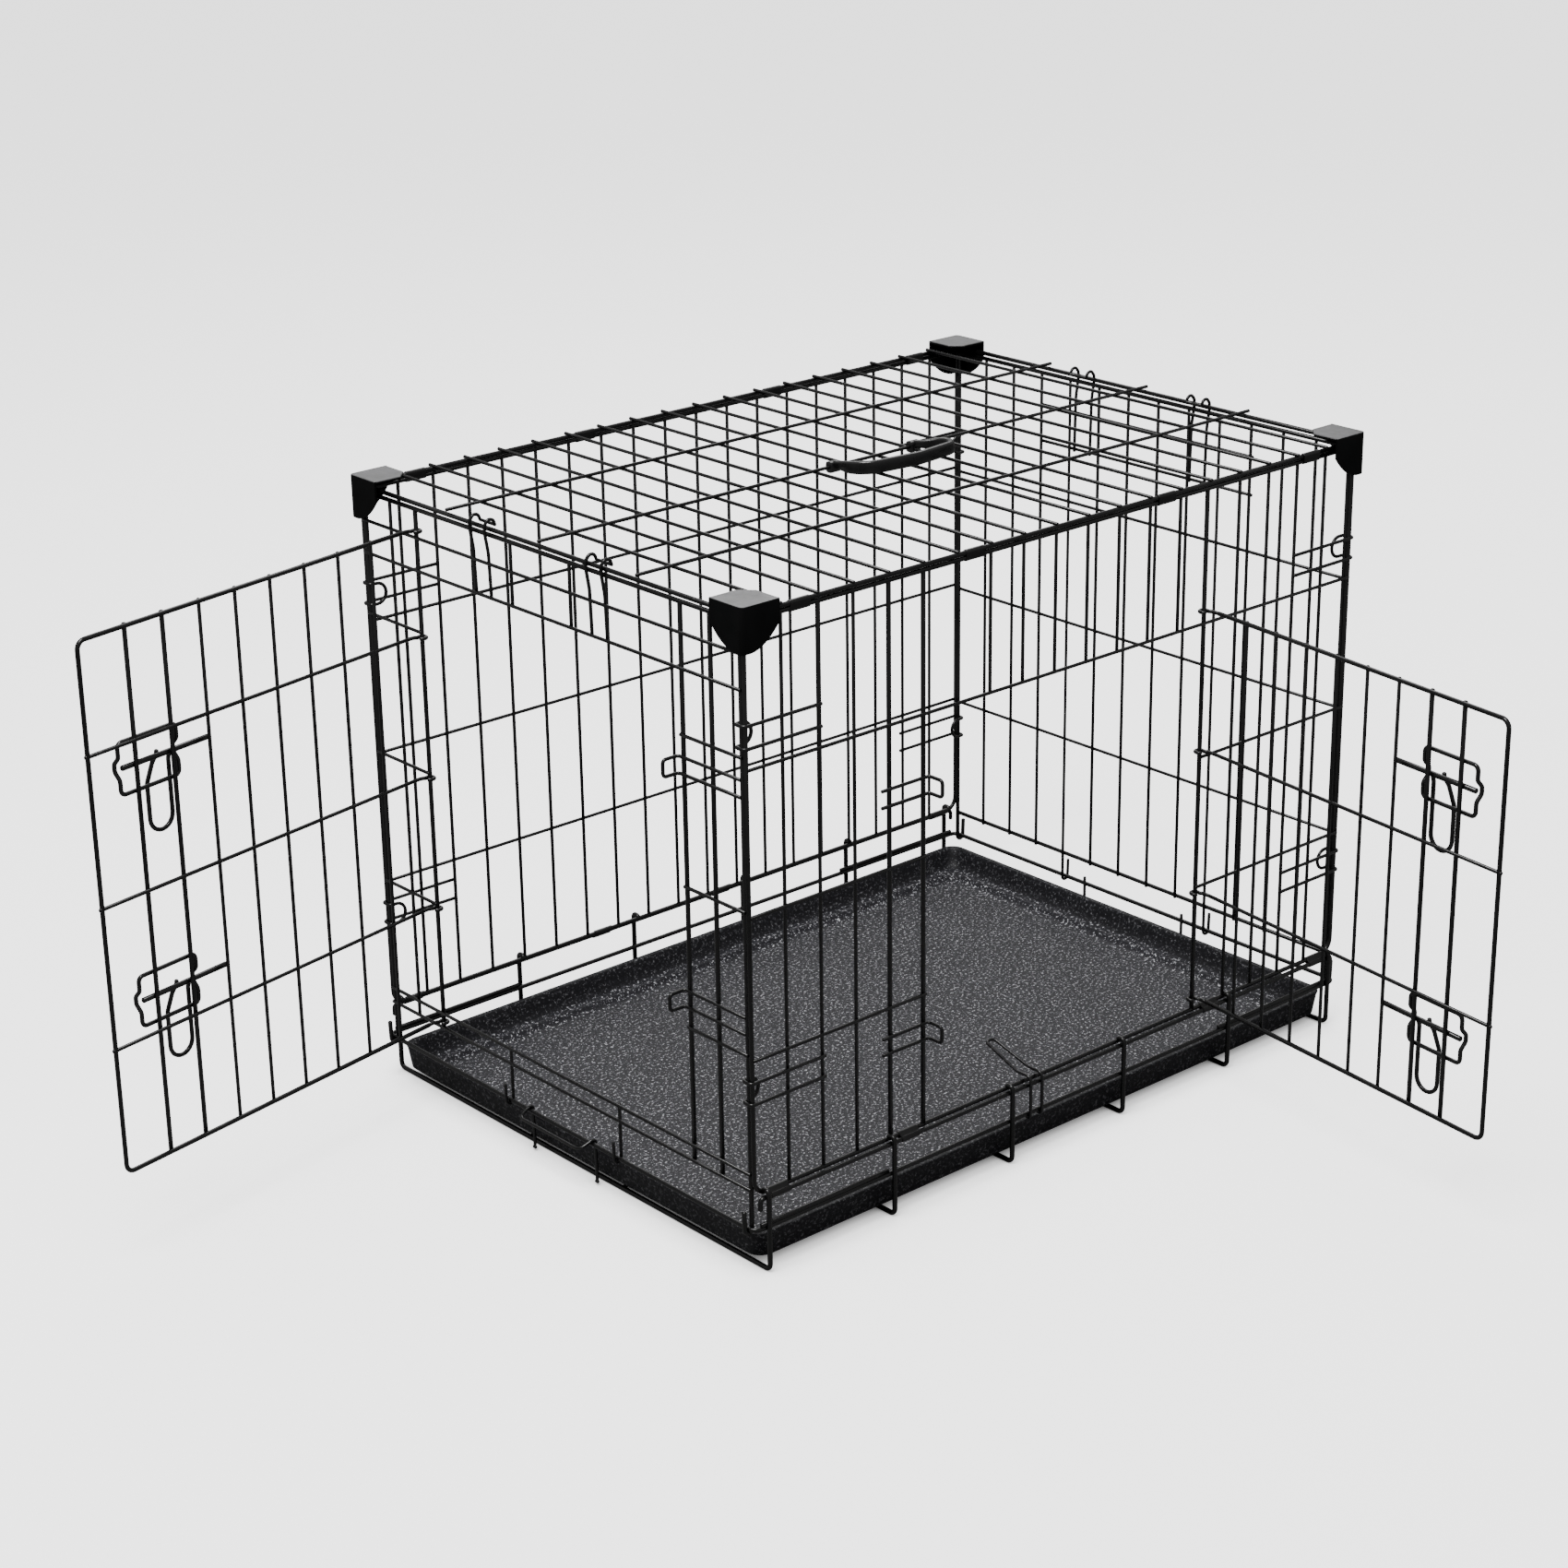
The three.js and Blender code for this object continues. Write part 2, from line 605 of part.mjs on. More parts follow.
// a finger loop on the door end's rail: its legs curl over the rail and it points outwards
function trayLatch() {
  const centre = crateWidth / 2;
  const half = 47;
  const reach = 31;
  const curl = (y) => {
    const points = [];
    for (const a of [-35, 5, 45, 90, 125]) {
      points.push(v(-endRailOut + eyeTurn * Math.cos(rad(a)), y, lowerRail + eyeTurn * Math.sin(rad(a))));
    }
    return points;
  };
  const tipX = -endRailOut - reach;
  const low = curl(centre - half);
  const high = curl(centre + half).reverse();
  const tip = rounded([
    low[4], v(tipX, centre - half + 4, lowerRail), v(tipX, centre + half - 4, lowerRail), high[0],
  ], 9, 3);
  return bent([...low.slice(0, 4), ...tip, ...high.slice(1)], hookRadius);
}

// a hairpin on the front's lower rail that rises outside both rails and lies over them into the crate
function foldHook() {
  const [x0, x1] = [8.23 * pitch, 8.6 * pitch];
  const curl = (x) => {
    const points = [];
    for (const a of [330, 285, 240, 200]) {
      points.push(v(x, -railOut + eyeTurn * Math.cos(rad(a)), lowerRail + eyeTurn * Math.sin(rad(a))));
    }
    return points;
  };
  const out = -railOut - eyeTurn;
  const over = 8.2; // height over the upper rail's axis
  const leg = (x, lean) => [
    ...curl(x), v(x, out, upperRail + 2), v(x, 1 - railOut, upperRail + over),
    v(x, 8, upperRail + over + 1.3),
    v(x + lean, 42, upperRail + 19), v(x + lean, 50, upperRail + 22),
  ];
  const pinch = 3; // how far the legs close in at the tip
  const path = [...leg(x0, pinch), ...leg(x1, -pinch).reverse()];
  return bent(path, hookRadius);
}

// ---- carry handle: two collars on the top panel's middle wire and a bow between them ----
function carryHandle() {
  const y = crateWidth / 2;
  const z = longWireHeight;
  const middle = crateLength / 2;
  const reach = 1.3 * pitch; // handle centre to collar centre
  const collarLength = 0.27 * pitch;
  const collarWall = 2.6;
  const gripRadius = 3.4;
  const inner = gridRadius + gap;
  const outer = inner + collarWall;
  const lean = rad(17);
  const shape = new THREE.Shape();
  shape.absarc(0, 0, outer, 0, 2 * Math.PI, false);
  const bore = new THREE.Path();
  bore.absarc(0, 0, inner, 0, 2 * Math.PI, true);
  shape.holes.push(bore);
  const pieces = [-1, 1].map((s) => {
    const g = new THREE.ExtrudeGeometry(shape, {
      depth: collarLength, bevelEnabled: false, curveSegments: 5,
    });
    g.rotateY(Math.PI / 2);
    g.translate(middle + s * reach - collarLength / 2, y, z);
    return g;
  });
  const lift = 2.2; // the grip leaves its collars this far above the wire
  const bow = (x, d) => v(x, y - d * Math.cos(lean), z + lift + d * Math.sin(lean));
  const half = reach + 20;
  const start = outer - 1;
  const path = rounded([
    bow(middle - reach, start), bow(middle - reach, 11), bow(middle - half, 22), bow(middle - half + 8, 42),
    bow(middle, 52), bow(middle + half - 8, 42), bow(middle + half, 22), bow(middle + reach, 11),
    bow(middle + reach, start),
  ], 12, 2);
  pieces.push(bent(path, gripRadius));
  return joined(pieces);
}

// ---- corner caps ----
const capOut = 8;
const capIn = 33;
const capTop = topHeight + 10.5; // clear of the top panel's grid
const capDepth = 41;
const capWall = 2.2;

function cornerCap(atFarEnd, atBack) {
  const size = capOut + capIn;
  const chamfer = 12;
  const skirtFoot = 12; // width of a skirt's lowest edge
  const plateShape = new THREE.Shape([
    new THREE.Vector2(0, 0), new THREE.Vector2(size, 0), new THREE.Vector2(size, size - chamfer),
    new THREE.Vector2(size - chamfer, size), new THREE.Vector2(0, size),
  ]);
  const plate = new THREE.ExtrudeGeometry(plateShape, { depth: capWall, bevelEnabled: false });
  plate.translate(0, 0, capDepth - capWall);
  const skirtShape = new THREE.Shape();
  skirtShape.moveTo(0, 0);
  skirtShape.lineTo(0, capDepth - capWall / 2);
  skirtShape.lineTo(size, capDepth - capWall / 2);
  skirtShape.lineTo(size, capDepth - 17);
  skirtShape.quadraticCurveTo(20, 16, skirtFoot, 0);
  const skirt = () => new THREE.ExtrudeGeometry(skirtShape, {
    depth: capWall, bevelEnabled: false, curveSegments: 5,
  });
  const alongX = skirt();
  alongX.rotateX(Math.PI / 2);
  alongX.translate(0, capWall, 0);
  const alongY = skirt();
  alongY.rotateX(Math.PI / 2);
  alongY.rotateZ(Math.PI / 2);
  let solid = toSolid(plate).add(toSolid(alongX)).add(toSolid(alongY));
  solid = solid.translate([-capOut, -capOut, capTop - capDepth]);
  if (atFarEnd) solid = solid.mirror([1, 0, 0]).translate([crateLength, 0, 0]);
  if (atBack) solid = solid.mirror([0, 1, 0]).translate([0, crateWidth, 0]);
  return toGeometry(solid);
}

// ---- hinge clips: sleeves round two neighbouring wires ----
function hingeClip(a, b) {
  const length = 0.55 * pitch;
  const sheet = 0.9;
  const inner = frameRadius + gap;
  const span = Math.hypot(b.y - a.y, b.z - a.z);
  const stadium = (r) => {
    const points = [];
    for (let i = 0; i <= 4; i += 1) {
      const angle = -Math.PI / 2 + (Math.PI * i) / 4;
      points.push(new THREE.Vector2(span + r * Math.cos(angle), r * Math.sin(angle)));
    }
    for (let i = 0; i <= 4; i += 1) {
      const angle = Math.PI / 2 + (Math.PI * i) / 4;
      points.push(new THREE.Vector2(r * Math.cos(angle), r * Math.sin(angle)));
    }
    return points;
  };
  const bore = inner / Math.cos(Math.PI / 8);
  const shape = new THREE.Shape(stadium(bore + sheet));
  shape.holes.push(new THREE.Path(stadium(bore).reverse()));
  const g = new THREE.ExtrudeGeometry(shape, { depth: length, bevelEnabled: false });
  const y = v(0, b.y - a.y, b.z - a.z).normalize();
  const x = v(1, 0, 0);
  g.applyMatrix4(new THREE.Matrix4().makeBasis(y, x.clone().cross(y), x));
  g.translate(a.x - length / 2, a.y, a.z);
  return g;
}

function addClips() {
  const rows = [
    ['front_top', [1.5, 6.5, 12.5, 17.45], 0, longPanelTop, 0, topHeight],
    ['back_top', [1.5, 6.5, 12.5, 17.45], crateWidth, longPanelTop, crateWidth, topHeight],
    ['front_base', [0.63, 4.5, 14.45, 18.37], 0, panelBottom, -railOut, upperRail],
    ['back_base', [0.63, 6.5, 10.5, 18.37], crateWidth, panelBottom, crateWidth + railOut, upperRail],
  ];
  for (const [name, cells, ya, za, yb, zb] of rows) {
    cells.forEach((cell, i) => {
      const x = cell * pitch;
      add(`${name}_clip_${i + 1}`, hingeClip(v(x, ya, za), v(x, yb, zb)), paint());
    });
  }
}

// ---- assembly ----
add('base_frame', baseFrame(), paint());
add('tray', tray(), plastic(0x2f3033));
add('front_panel', frontPanel(), paint());
add('back_panel', backPanel(), paint());
add('top_panel', topPanel(), paint());
add('door_end_panel', doorEndPanel(), paint());
add('rear_end_panel', rearEndPanel(), paint());
const sideDoorWidth = sideOpening.hinge - sideOpening.jamb + sideDoorLap;
const endDoorWidth = endOpening.hinge - endOpening.jamb + endDoorLap;
makeDoor('side_door', v(sideOpening.hinge, 0, 0), sideDoorWidth, sideDoorRows, sideBoltHeights,
  Math.PI + rad(sideDoorOpen), false);
makeDoor('end_door', v(0, endOpening.hinge, 0), endDoorWidth, endDoorRows, endBoltHeights,
  -Math.PI / 2 - rad(endDoorOpen), true);
add('tray_latch', trayLatch(), paint());
add('fold_hook', foldHook(), paint());
add('carry_handle', carryHandle(), plastic(0x1b1b1c));
add('corner_cap_front_door_end', cornerCap(false, false), plastic(0x26262a));
add('corner_cap_front_rear_end', cornerCap(true, false), plastic(0x26262a));
add('corner_cap_back_door_end', cornerCap(false, true), plastic(0x26262a));
add('corner_cap_back_rear_end', cornerCap(true, true), plastic(0x26262a));
addClips();

crate.position.set(-crateLength / 2, -crateWidth / 2, -trayFloor);
const root = new THREE.Group();
root.add(crate);
export default root;
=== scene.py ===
"""A wire dog crate: round coated wires, crimped clips, moulded caps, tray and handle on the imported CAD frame.

Lengths are in millimetres in the crate's own frame until a mesh is made: the near corner post stands at
(0, 0), X runs along the long panels, Y from the front panel to the back one, and the ground is z = 0.
"""

import math

import bmesh
import bpy
from mathutils import Matrix, Vector


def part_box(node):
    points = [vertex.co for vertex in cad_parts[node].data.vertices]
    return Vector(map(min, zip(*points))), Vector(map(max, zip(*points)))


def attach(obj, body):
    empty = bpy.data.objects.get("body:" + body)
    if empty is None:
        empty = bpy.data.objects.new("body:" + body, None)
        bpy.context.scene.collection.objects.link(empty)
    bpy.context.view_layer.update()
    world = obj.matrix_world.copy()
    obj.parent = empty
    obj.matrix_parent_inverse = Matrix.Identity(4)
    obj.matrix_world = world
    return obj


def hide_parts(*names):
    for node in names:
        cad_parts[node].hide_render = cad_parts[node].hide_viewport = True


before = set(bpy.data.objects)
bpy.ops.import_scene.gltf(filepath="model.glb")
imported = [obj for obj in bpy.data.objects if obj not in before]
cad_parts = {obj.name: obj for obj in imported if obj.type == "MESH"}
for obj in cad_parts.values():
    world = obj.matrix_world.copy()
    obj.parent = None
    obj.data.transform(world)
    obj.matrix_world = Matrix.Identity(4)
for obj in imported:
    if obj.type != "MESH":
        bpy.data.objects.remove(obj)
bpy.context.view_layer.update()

MM = 0.001
V = Vector


def cad_box(node):
    low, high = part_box(node)
    return low / MM, high / MM


# ---- wire radii ----
GRID = 1.2  # thin wires of the panels
FRAME = 1.8  # outlines, jambs, posts and rails
HOOK = 1.5
FOOT = 2.3
BOLT = 2.5
DOOR_ROW = 1.45  # a door's cross wires
LATCH = 1.75  # keepers and bolt handles
COATS = {GRID: 0.5, DOOR_ROW: 0.4, FRAME: 0.4, LATCH: 0.3}  # enamel over a wire of that radius
OTHER_COAT = 0.1  # and over the others

# ---- how the wires lie on each other ----
WELD = 0.4  # how far crossing wires sink into each other
GAP = 0.4  # clearance between wires that aren't joined
ON_THIN = 2 * GRID - WELD
ON_THICK = FRAME + GRID - WELD
WIRE_START = 2  # how far the top's thin wires pass the near rods
WIRE_END = 5  # and the far ones
STUB = 2.0  # how far a wire's cut end passes the one it is welded to

# ---- the crate's own frame and size, from the CAD boxes ----
top_low, top_high = cad_box("top_panel")
ground = cad_box("base_frame")[0].z
ORIGIN = V((top_low.x + WIRE_START, top_low.y + WIRE_START, ground))
LENGTH = top_high.x - WIRE_END - ORIGIN.x
WIDTH = top_high.y - WIRE_END - ORIGIN.y
TOP = top_high.z - ground - ON_THICK - ON_THIN - GRID
MID = WIDTH / 2

CELLS = 19
PITCH = LENGTH / CELLS
LONG_TOP = TOP - 2 * FRAME - 1
END_TOP = TOP - 2 * FRAME - 2
PANEL_BOTTOM = 75.5
ROWS = (204, 336, 468)
POSTS = (2 * FRAME + 0.6, WIDTH - 2 * FRAME - 0.6)
RAIL_OUT = 4.2  # from a long panel's plane to the base rails
UPPER_RAIL = 72
LOWER_RAIL = 43
END_RAIL_OUT = 2 * FRAME + GAP
CROSS_Z = TOP + ON_THICK
LONG_Z = CROSS_Z + ON_THIN
EYE = FRAME + HOOK + GAP  # radius of a hook turned round a rail

# ---- doorways ----
SIDE_JAMB = 5 * PITCH
SIDE_HINGE = 13.9 * PITCH
END_JAMB = 80
END_HINGE = WIDTH - 84
SIDE_BOLTS = (168, 402)
END_BOLTS = (233.5, 449)


# ---- materials ----
def new_material(name):
    material = bpy.data.materials.new(name)
    material.use_nodes = True
    nodes = material.node_tree.nodes
    shader = nodes["Principled BSDF"]
    coords = nodes.new("ShaderNodeTexCoord")
    return material, material.node_tree, shader, coords.outputs["Object"]


def noise(tree, coords, scale, detail, roughness=0.55):
    node = tree.nodes.new("ShaderNodeTexNoise")
    node.inputs["Scale"].default_value = scale
    node.inputs["Detail"].default_value = detail
    node.inputs["Roughness"].default_value = roughness
    tree.links.new(coords, node.inputs["Vector"])
    return node.outputs["Fac"]


def ramp(tree, fac, stops):
    node = tree.nodes.new("ShaderNodeValToRGB")
    elements = node.color_ramp.elements
    for element, (place, value) in zip(elements, stops):
        element.position = place
        element.color = (*value, 1)
    for place, value in stops[2:]:
        element = elements.new(place)
        element.color = (*value, 1)
    tree.links.new(fac, node.inputs["Fac"])
    return node.outputs["Color"]


def spread(tree, fac, low, high):
    node = tree.nodes.new("ShaderNodeMapRange")
    node.inputs["From Min"].default_value = 0.3
    node.inputs["From Max"].default_value = 0.7
    node.inputs["To Min"].default_value = low
    node.inputs["To Max"].default_value = high
    tree.links.new(fac, node.inputs["Value"])
    return node.outputs["Result"]


def bump(tree, shader, height, strength, distance):
    node = tree.nodes.new("ShaderNodeBump")
    node.inputs["Strength"].default_value = strength
    node.inputs["Distance"].default_value = distance
    tree.links.new(height, node.inputs["Height"])
    tree.links.new(node.outputs["Normal"], shader.inputs["Normal"])


def grey(value, blue=1.0):
    return (value, value, value * blue)


def coated_wire(name, dark, light, rough_low, rough_high, specular):
    """Black baked enamel: slightly uneven tone and gloss, and a faint orange peel."""
    material, tree, shader, coords = new_material(name)
    colour = ramp(tree, noise(tree, coords, 60, 4), [(0.35, grey(dark)), (0.7, grey(light, 1.06))])
    gloss = spread(tree, noise(tree, coords, 240, 3), rough_low, rough_high)
    tree.links.new(colour, shader.inputs["Base Color"])
    tree.links.new(gloss, shader.inputs["Roughness"])
    shader.inputs["IOR"].default_value = 1.45
    shader.inputs["Specular IOR Level"].default_value = specular
    bump(tree, shader, noise(tree, coords, 700, 2), 0.25, 0.0002)
    return material


def moulded(name, dark, light, rough_low, rough_high, specular):
    """Moulded plastic with a fine grain and a faintly uneven tone and gloss."""
    material, tree, shader, coords = new_material(name)
    colour = ramp(tree, noise(tree, coords, 35, 4), [(0.3, grey(dark)), (0.7, grey(light, 1.05))])
    gloss = spread(tree, noise(tree, coords, 120, 3), rough_low, rough_high)
    tree.links.new(colour, shader.inputs["Base Color"])
    tree.links.new(gloss, shader.inputs["Roughness"])
    shader.inputs["Specular IOR Level"].default_value = specular
    bump(tree, shader, noise(tree, coords, 900, 2), 0.35, 0.0002)
    return material


def speckled(name, specular, base, point):
    """Tray plastic: a pebbled grain, base dark, whose raised points are painted lighter as glints, a painted
    highlight in the colour.
    """
    material, tree, shader, coords = new_material(name)
    fine = noise(tree, coords, 340, 2, 0.9)
    broad = noise(tree, coords, 9, 3)
    # The point colour paints the grain's glints as light specks: a painted highlight.
    stops = [(0.5, grey(base, 1.25)), (0.59, grey(3 * base, 1.25)), (0.66, grey(point, 1.05))]
    points = ramp(tree, fine, stops)
    clouds = ramp(tree, broad, [(0.3, grey(0.82)), (0.7, grey(1.0))])
    mix = tree.nodes.new("ShaderNodeMix")
    mix.data_type = "RGBA"
    mix.blend_type = "MULTIPLY"
    mix.inputs["Factor"].default_value = 1.0
    tree.links.new(points, mix.inputs["A"])
    tree.links.new(clouds, mix.inputs["B"])
    tree.links.new(mix.outputs["Result"], shader.inputs["Base Color"])
    tree.links.new(spread(tree, fine, 0.62, 0.42), shader.inputs["Roughness"])
    shader.inputs["Specular IOR Level"].default_value = specular
    bump(tree, shader, fine, 0.5, 0.0006)
    return material


WIRE = coated_wire("coated_wire_black", 0.0015, 0.004, 0.2, 0.34, 0.5)
BOLT_WIRE = coated_wire("bolt_wire_black", 0.0015, 0.004, 0.18, 0.3, 0.6)
CLIP = coated_wire("clip_sheet_black", 0.0015, 0.004, 0.28, 0.42, 0.5)
# The caps' sides keep the plastic's own black. The top plate is a lighter grey copy of the same plastic: a
# painted sheen where light falls from above.
CAP_SIDE = moulded("cap_plastic_side", 0.002, 0.004, 0.4, 0.55, 0.08)
CAP_TOP_PAINTED_SHEEN = moulded("cap_plastic_top_painted_sheen", 0.06, 0.085, 0.38, 0.5, 0.6)
HANDLE = moulded("handle_plastic", 0.002, 0.005, 0.24, 0.36, 0.6)
# One plastic in two copies. The floor is painted lighter with bright glints, as painted light from above. The
# walls are painted darker with dim glints, as painted shade.
TRAY_FLOOR_LIT = speckled("tray_plastic_floor_painted_light", 0.25, 0.012, 0.7)
TRAY_WALL_SHADED = speckled("tray_plastic_wall_painted_shade", 0.25, 0.007, 0.16)


# ---- meshes ----
def ring(bm, centre, across, up, radius, sides):
    out = []
    for k in range(sides):
        a = 2 * math.pi * k / sides
        out.append(bm.verts.new(centre + (across * math.cos(a) + up * math.sin(a)) * radius))
    return out


def bridge(bm, first, second, offset=0):
    count = len(first)
    for k in range(count):
        a, b = second[(k + 1 + offset) % count], second[(k + offset) % count]
        bm.faces.new((first[k], first[(k + 1) % count], a, b))


def metres(bm):
    bm.transform(Matrix.Scale(MM, 4) @ Matrix.Translation(ORIGIN))


def wire(bm, points, radius, closed=False):
    """A round wire along the points, with its cut ends slightly rounded over."""
    sides = 10 if radius < FRAME else 12
    count = len(points)
    stations = []
    for i, point in enumerate(points):
        before = points[i - 1] if closed or i > 0 else point
        after = points[(i + 1) % count] if closed or i < count - 1 else point
        stations.append((point, (after - before).normalized(), radius))
    if not closed:
        first, along, _ = stations[0]
        last, onward, _ = stations[-1]
        lip = 0.35 * radius
        stations[0] = (first + along * lip, along, radius)
        stations[-1] = (last - onward * lip, onward, radius)
        stations.insert(0, (first, along, radius - lip))
        stations.append((last, onward, radius - lip))
    across = stations[0][1].orthogonal().normalized()
    rings = []
    for point, along, size in stations:
        across = (across - along * across.dot(along)).normalized()
        rings.append(ring(bm, point, across, along.cross(across), size, sides))
    for a, b in zip(rings, rings[1:]):
        bridge(bm, a, b)
    if closed:
        start = rings[-1][0].co
        offset = min(range(sides), key=lambda k: (rings[0][k].co - start).length)
        bridge(bm, rings[-1], rings[0], offset)
    else:
        bm.faces.new(rings[0][::-1])
        bm.faces.new(rings[-1])


def bead(bm, centre, radius):
    """The small swelling where two crossing wires are welded."""
    made = bmesh.ops.create_icosphere(bm, subdivisions=2, radius=radius)
    bmesh.ops.translate(bm, verts=made["verts"], vec=centre)


def arc(centre, start, end, normal):
    """Points on the arc from start to end around centre."""
    u, w = start - centre, end - centre
    angle = u.angle(w)
    steps = max(2, round(angle / 0.28))
    return [centre + Matrix.Rotation(angle * k / steps, 3, normal) @ u for k in range(steps + 1)]


def fillet(points, radius, closed=False):
    """The same line with each corner rounded to the radius, or to what its legs leave room for."""
    out = []
    last = len(points) - 1
    for i, point in enumerate(points):
        if not closed and i in (0, last):
            out.append(point)
            continue
        a, b = points[i - 1] - point, points[(i + 1) % len(points)] - point
        bend = math.pi - a.angle(b)
        if bend < 0.03:
            out.append(point)
            continue
        cut = min(radius * math.tan(bend / 2), a.length * 0.48, b.length * 0.48)
        a.normalize()
        b.normalize()
        centre = point + (a + b).normalized() * (cut / math.sin(bend / 2))
        start, end = point + a * cut, point + b * cut
        out += arc(centre, start, end, (start - centre).cross(end - centre).normalized())
    return out


def piece(bm, name, body, nodes, material, sharp, extra=()):
    """Turns the mesh into an object that rides on body and stands for the CAD nodes."""
    bmesh.ops.recalc_face_normals(bm, faces=bm.faces)
    metres(bm)
    mesh = bpy.data.meshes.new(name)
    bm.to_mesh(mesh)
    bm.free()
    mesh.polygons.foreach_set("use_smooth", [True] * len(mesh.polygons))
    mesh.set_sharp_from_angle(angle=math.radians(sharp))
    for item in (material, *extra):
        mesh.materials.append(item)
    thing = bpy.data.objects.new(name, mesh)
    bpy.context.scene.collection.objects.link(thing)
    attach(thing, body)
    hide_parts(*nodes)


class Wires:
    """Wires and weld beads, placed by a matrix, that end up as one piece."""

    def __init__(self, place=Matrix.Identity(4)):
        self.place = place
        self.bm = bmesh.new()

    def add(self, points, radius, corner=0.0, closed=False):
        line = fillet(points, corner, closed) if corner else points
        coat = COATS.get(radius, OTHER_COAT)
        wire(self.bm, [self.place @ p for p in line], radius + coat, closed)

    def bead(self, centre, radius):
        bead(self.bm, self.place @ centre, radius)

    def finish(self, name, body, nodes, material=WIRE):
        piece(self.bm, name, body, nodes, material, 60)


def grid(wires, at, uprights, rows):
    """A panel's uprights and rows, with a bead where they cross.

    An upright is (place, bottom, top, radius, depth) and a row (height, start, end, depth, radius).
    at(place, depth, height) is a point on the panel.
    """
    for x, low, high, radius, depth in uprights:
        wires.add([at(x, depth, low), at(x, depth, high)], radius)
    for z, start, end, depth, radius in rows:
        wires.add([at(start, depth, z), at(end, depth, z)], radius)
        for x, low, high, thick, behind in uprights:
            if start - 0.5 <= x <= end + 0.5 and low - 0.5 <= z <= high + 0.5:
                touch = behind + thick if depth > behind else behind - thick
                wires.bead(at(x, touch, z), 0.3 + 0.72 * min(thick, 1.6) + 0.2)


# ---- long panels ----
def long_panel(y, out):
    front = out < 0
    wires = Wires()

    def at(x, depth, z):
        return V((x, y + out * depth, z))

    posts = [at(0, 0, LONG_TOP), at(0, 0, PANEL_BOTTOM), at(LENGTH, 0, PANEL_BOTTOM), at(LENGTH, 0, LONG_TOP)]
    wires.add(posts, FRAME, 14)
    wires.add([at(0, 0, LONG_TOP), at(LENGTH, 0, LONG_TOP)], FRAME)
    uprights = []
    for i in range(1, CELLS):
        hinge = front and i == 14
        x = SIDE_HINGE if hinge else i * PITCH
        over_door = front and SIDE_JAMB + 1 < x < SIDE_HINGE - 1
        radius = FRAME if front and i in (4, 5, 14) else GRID
        low = ROWS[2] - STUB if over_door else PANEL_BOTTOM - STUB
        uprights.append((x, low, LONG_TOP + 1, radius, 0))
    rows = [(ROWS[2], 0, LENGTH, ON_THIN, GRID)]
    for z in ROWS[:2]:
        if front:
            rows.append((z, 0, SIDE_JAMB + STUB, ON_THIN, GRID))
            rows.append((z, SIDE_HINGE - STUB, LENGTH, ON_THIN, GRID))
        else:
            rows.append((z, 0, LENGTH, ON_THIN, GRID))
    grid(wires, at, uprights, rows)
    for x, low, _, radius, _ in uprights:
        wires.bead(at(x, 0, LONG_TOP - 0.6), 1.9)
        if low < PANEL_BOTTOM:
            wires.bead(at(x, 0, PANEL_BOTTOM + 0.4), 1.95)
    wrap = FRAME + GAP + GRID
    for far in (False, True):
        for centre in (173.5, 497):
            corner_hook(wires, at, far, centre, wrap)
    if front:
        for z in SIDE_BOLTS:
            receiver(wires, at, z, SIDE_JAMB - 51, SIDE_JAMB + 5)
    name = "front_panel" if front else "back_panel"
    wires.finish(name + "_wires", "crate", [name])


def corner_hook(wires, at, far, centre, wrap):
    """A hairpin on the panel's outer face that passes round the two posts at a corner and closes inside."""
    def along(s):
        return LENGTH - s if far else s

    half = 10
    inner = -(POSTS[0] + 2 * FRAME + 1)

    def leg(z):
        return fillet([at(along(2 * PITCH + 2), ON_THICK, z), at(along(-wrap), ON_THICK, z),
                       at(along(-wrap), inner, z), at(along(4), inner, z)], 3.4)

    tip = [at(along(4 + half * math.sin(math.radians(a))), inner, centre + half * math.cos(math.radians(a)))
           for a in range(15, 180, 15)]
    wires.add(leg(centre + half) + tip + leg(centre - half)[::-1], GRID)
    for i in (1, 2):
        for z in (centre - half, centre + half):
            wires.bead(at(along(i * PITCH), GRID + 0.2, z), 1.35)


def receiver(wires, at, axis, start, end):
    """A hairpin welded across the jambs whose closed end stands out to take a bolt."""
    half = 7.75
    depth = ON_THICK - 0.5
    reach = 19

    def leg(z):
        return [at(start, depth, z), at(end, depth, z), at(end, reach, z)]

    wires.add(leg(axis + half) + leg(axis - half)[::-1], GRID, 3.5)


long_panel(0, -1)
long_panel(WIDTH, 1)


# ---- top panel ----
def top_panel():
    wires = Wires()
    for y in (0, WIDTH):
        wires.add([V((-FRAME, y, TOP)), V((LENGTH + FRAME, y, TOP))], FRAME)
    for x in (0, LENGTH):
        wires.add([V((x, -1, TOP)), V((x, WIDTH + 1, TOP))], FRAME)
    for i in range(1, CELLS):
        x = i * PITCH
        wires.add([V((x, -WIRE_START, CROSS_Z)), V((x, WIDTH + WIRE_END, CROSS_Z))], GRID)
        for y in (0, WIDTH):
            wires.bead(V((x, y, TOP + FRAME - 0.2)), 1.5)
    for y in (WIDTH / 4, MID, WIDTH * 3 / 4):
        wires.add([V((-WIRE_START, y, LONG_Z)), V((LENGTH + WIRE_END, y, LONG_Z))], GRID)
        for i in range(1, CELLS):
            wires.bead(V((i * PITCH, y, CROSS_Z + GRID - 0.2)), 1.35)
    wires.finish("top_panel_wires", "crate", ["top_panel"])


top_panel()


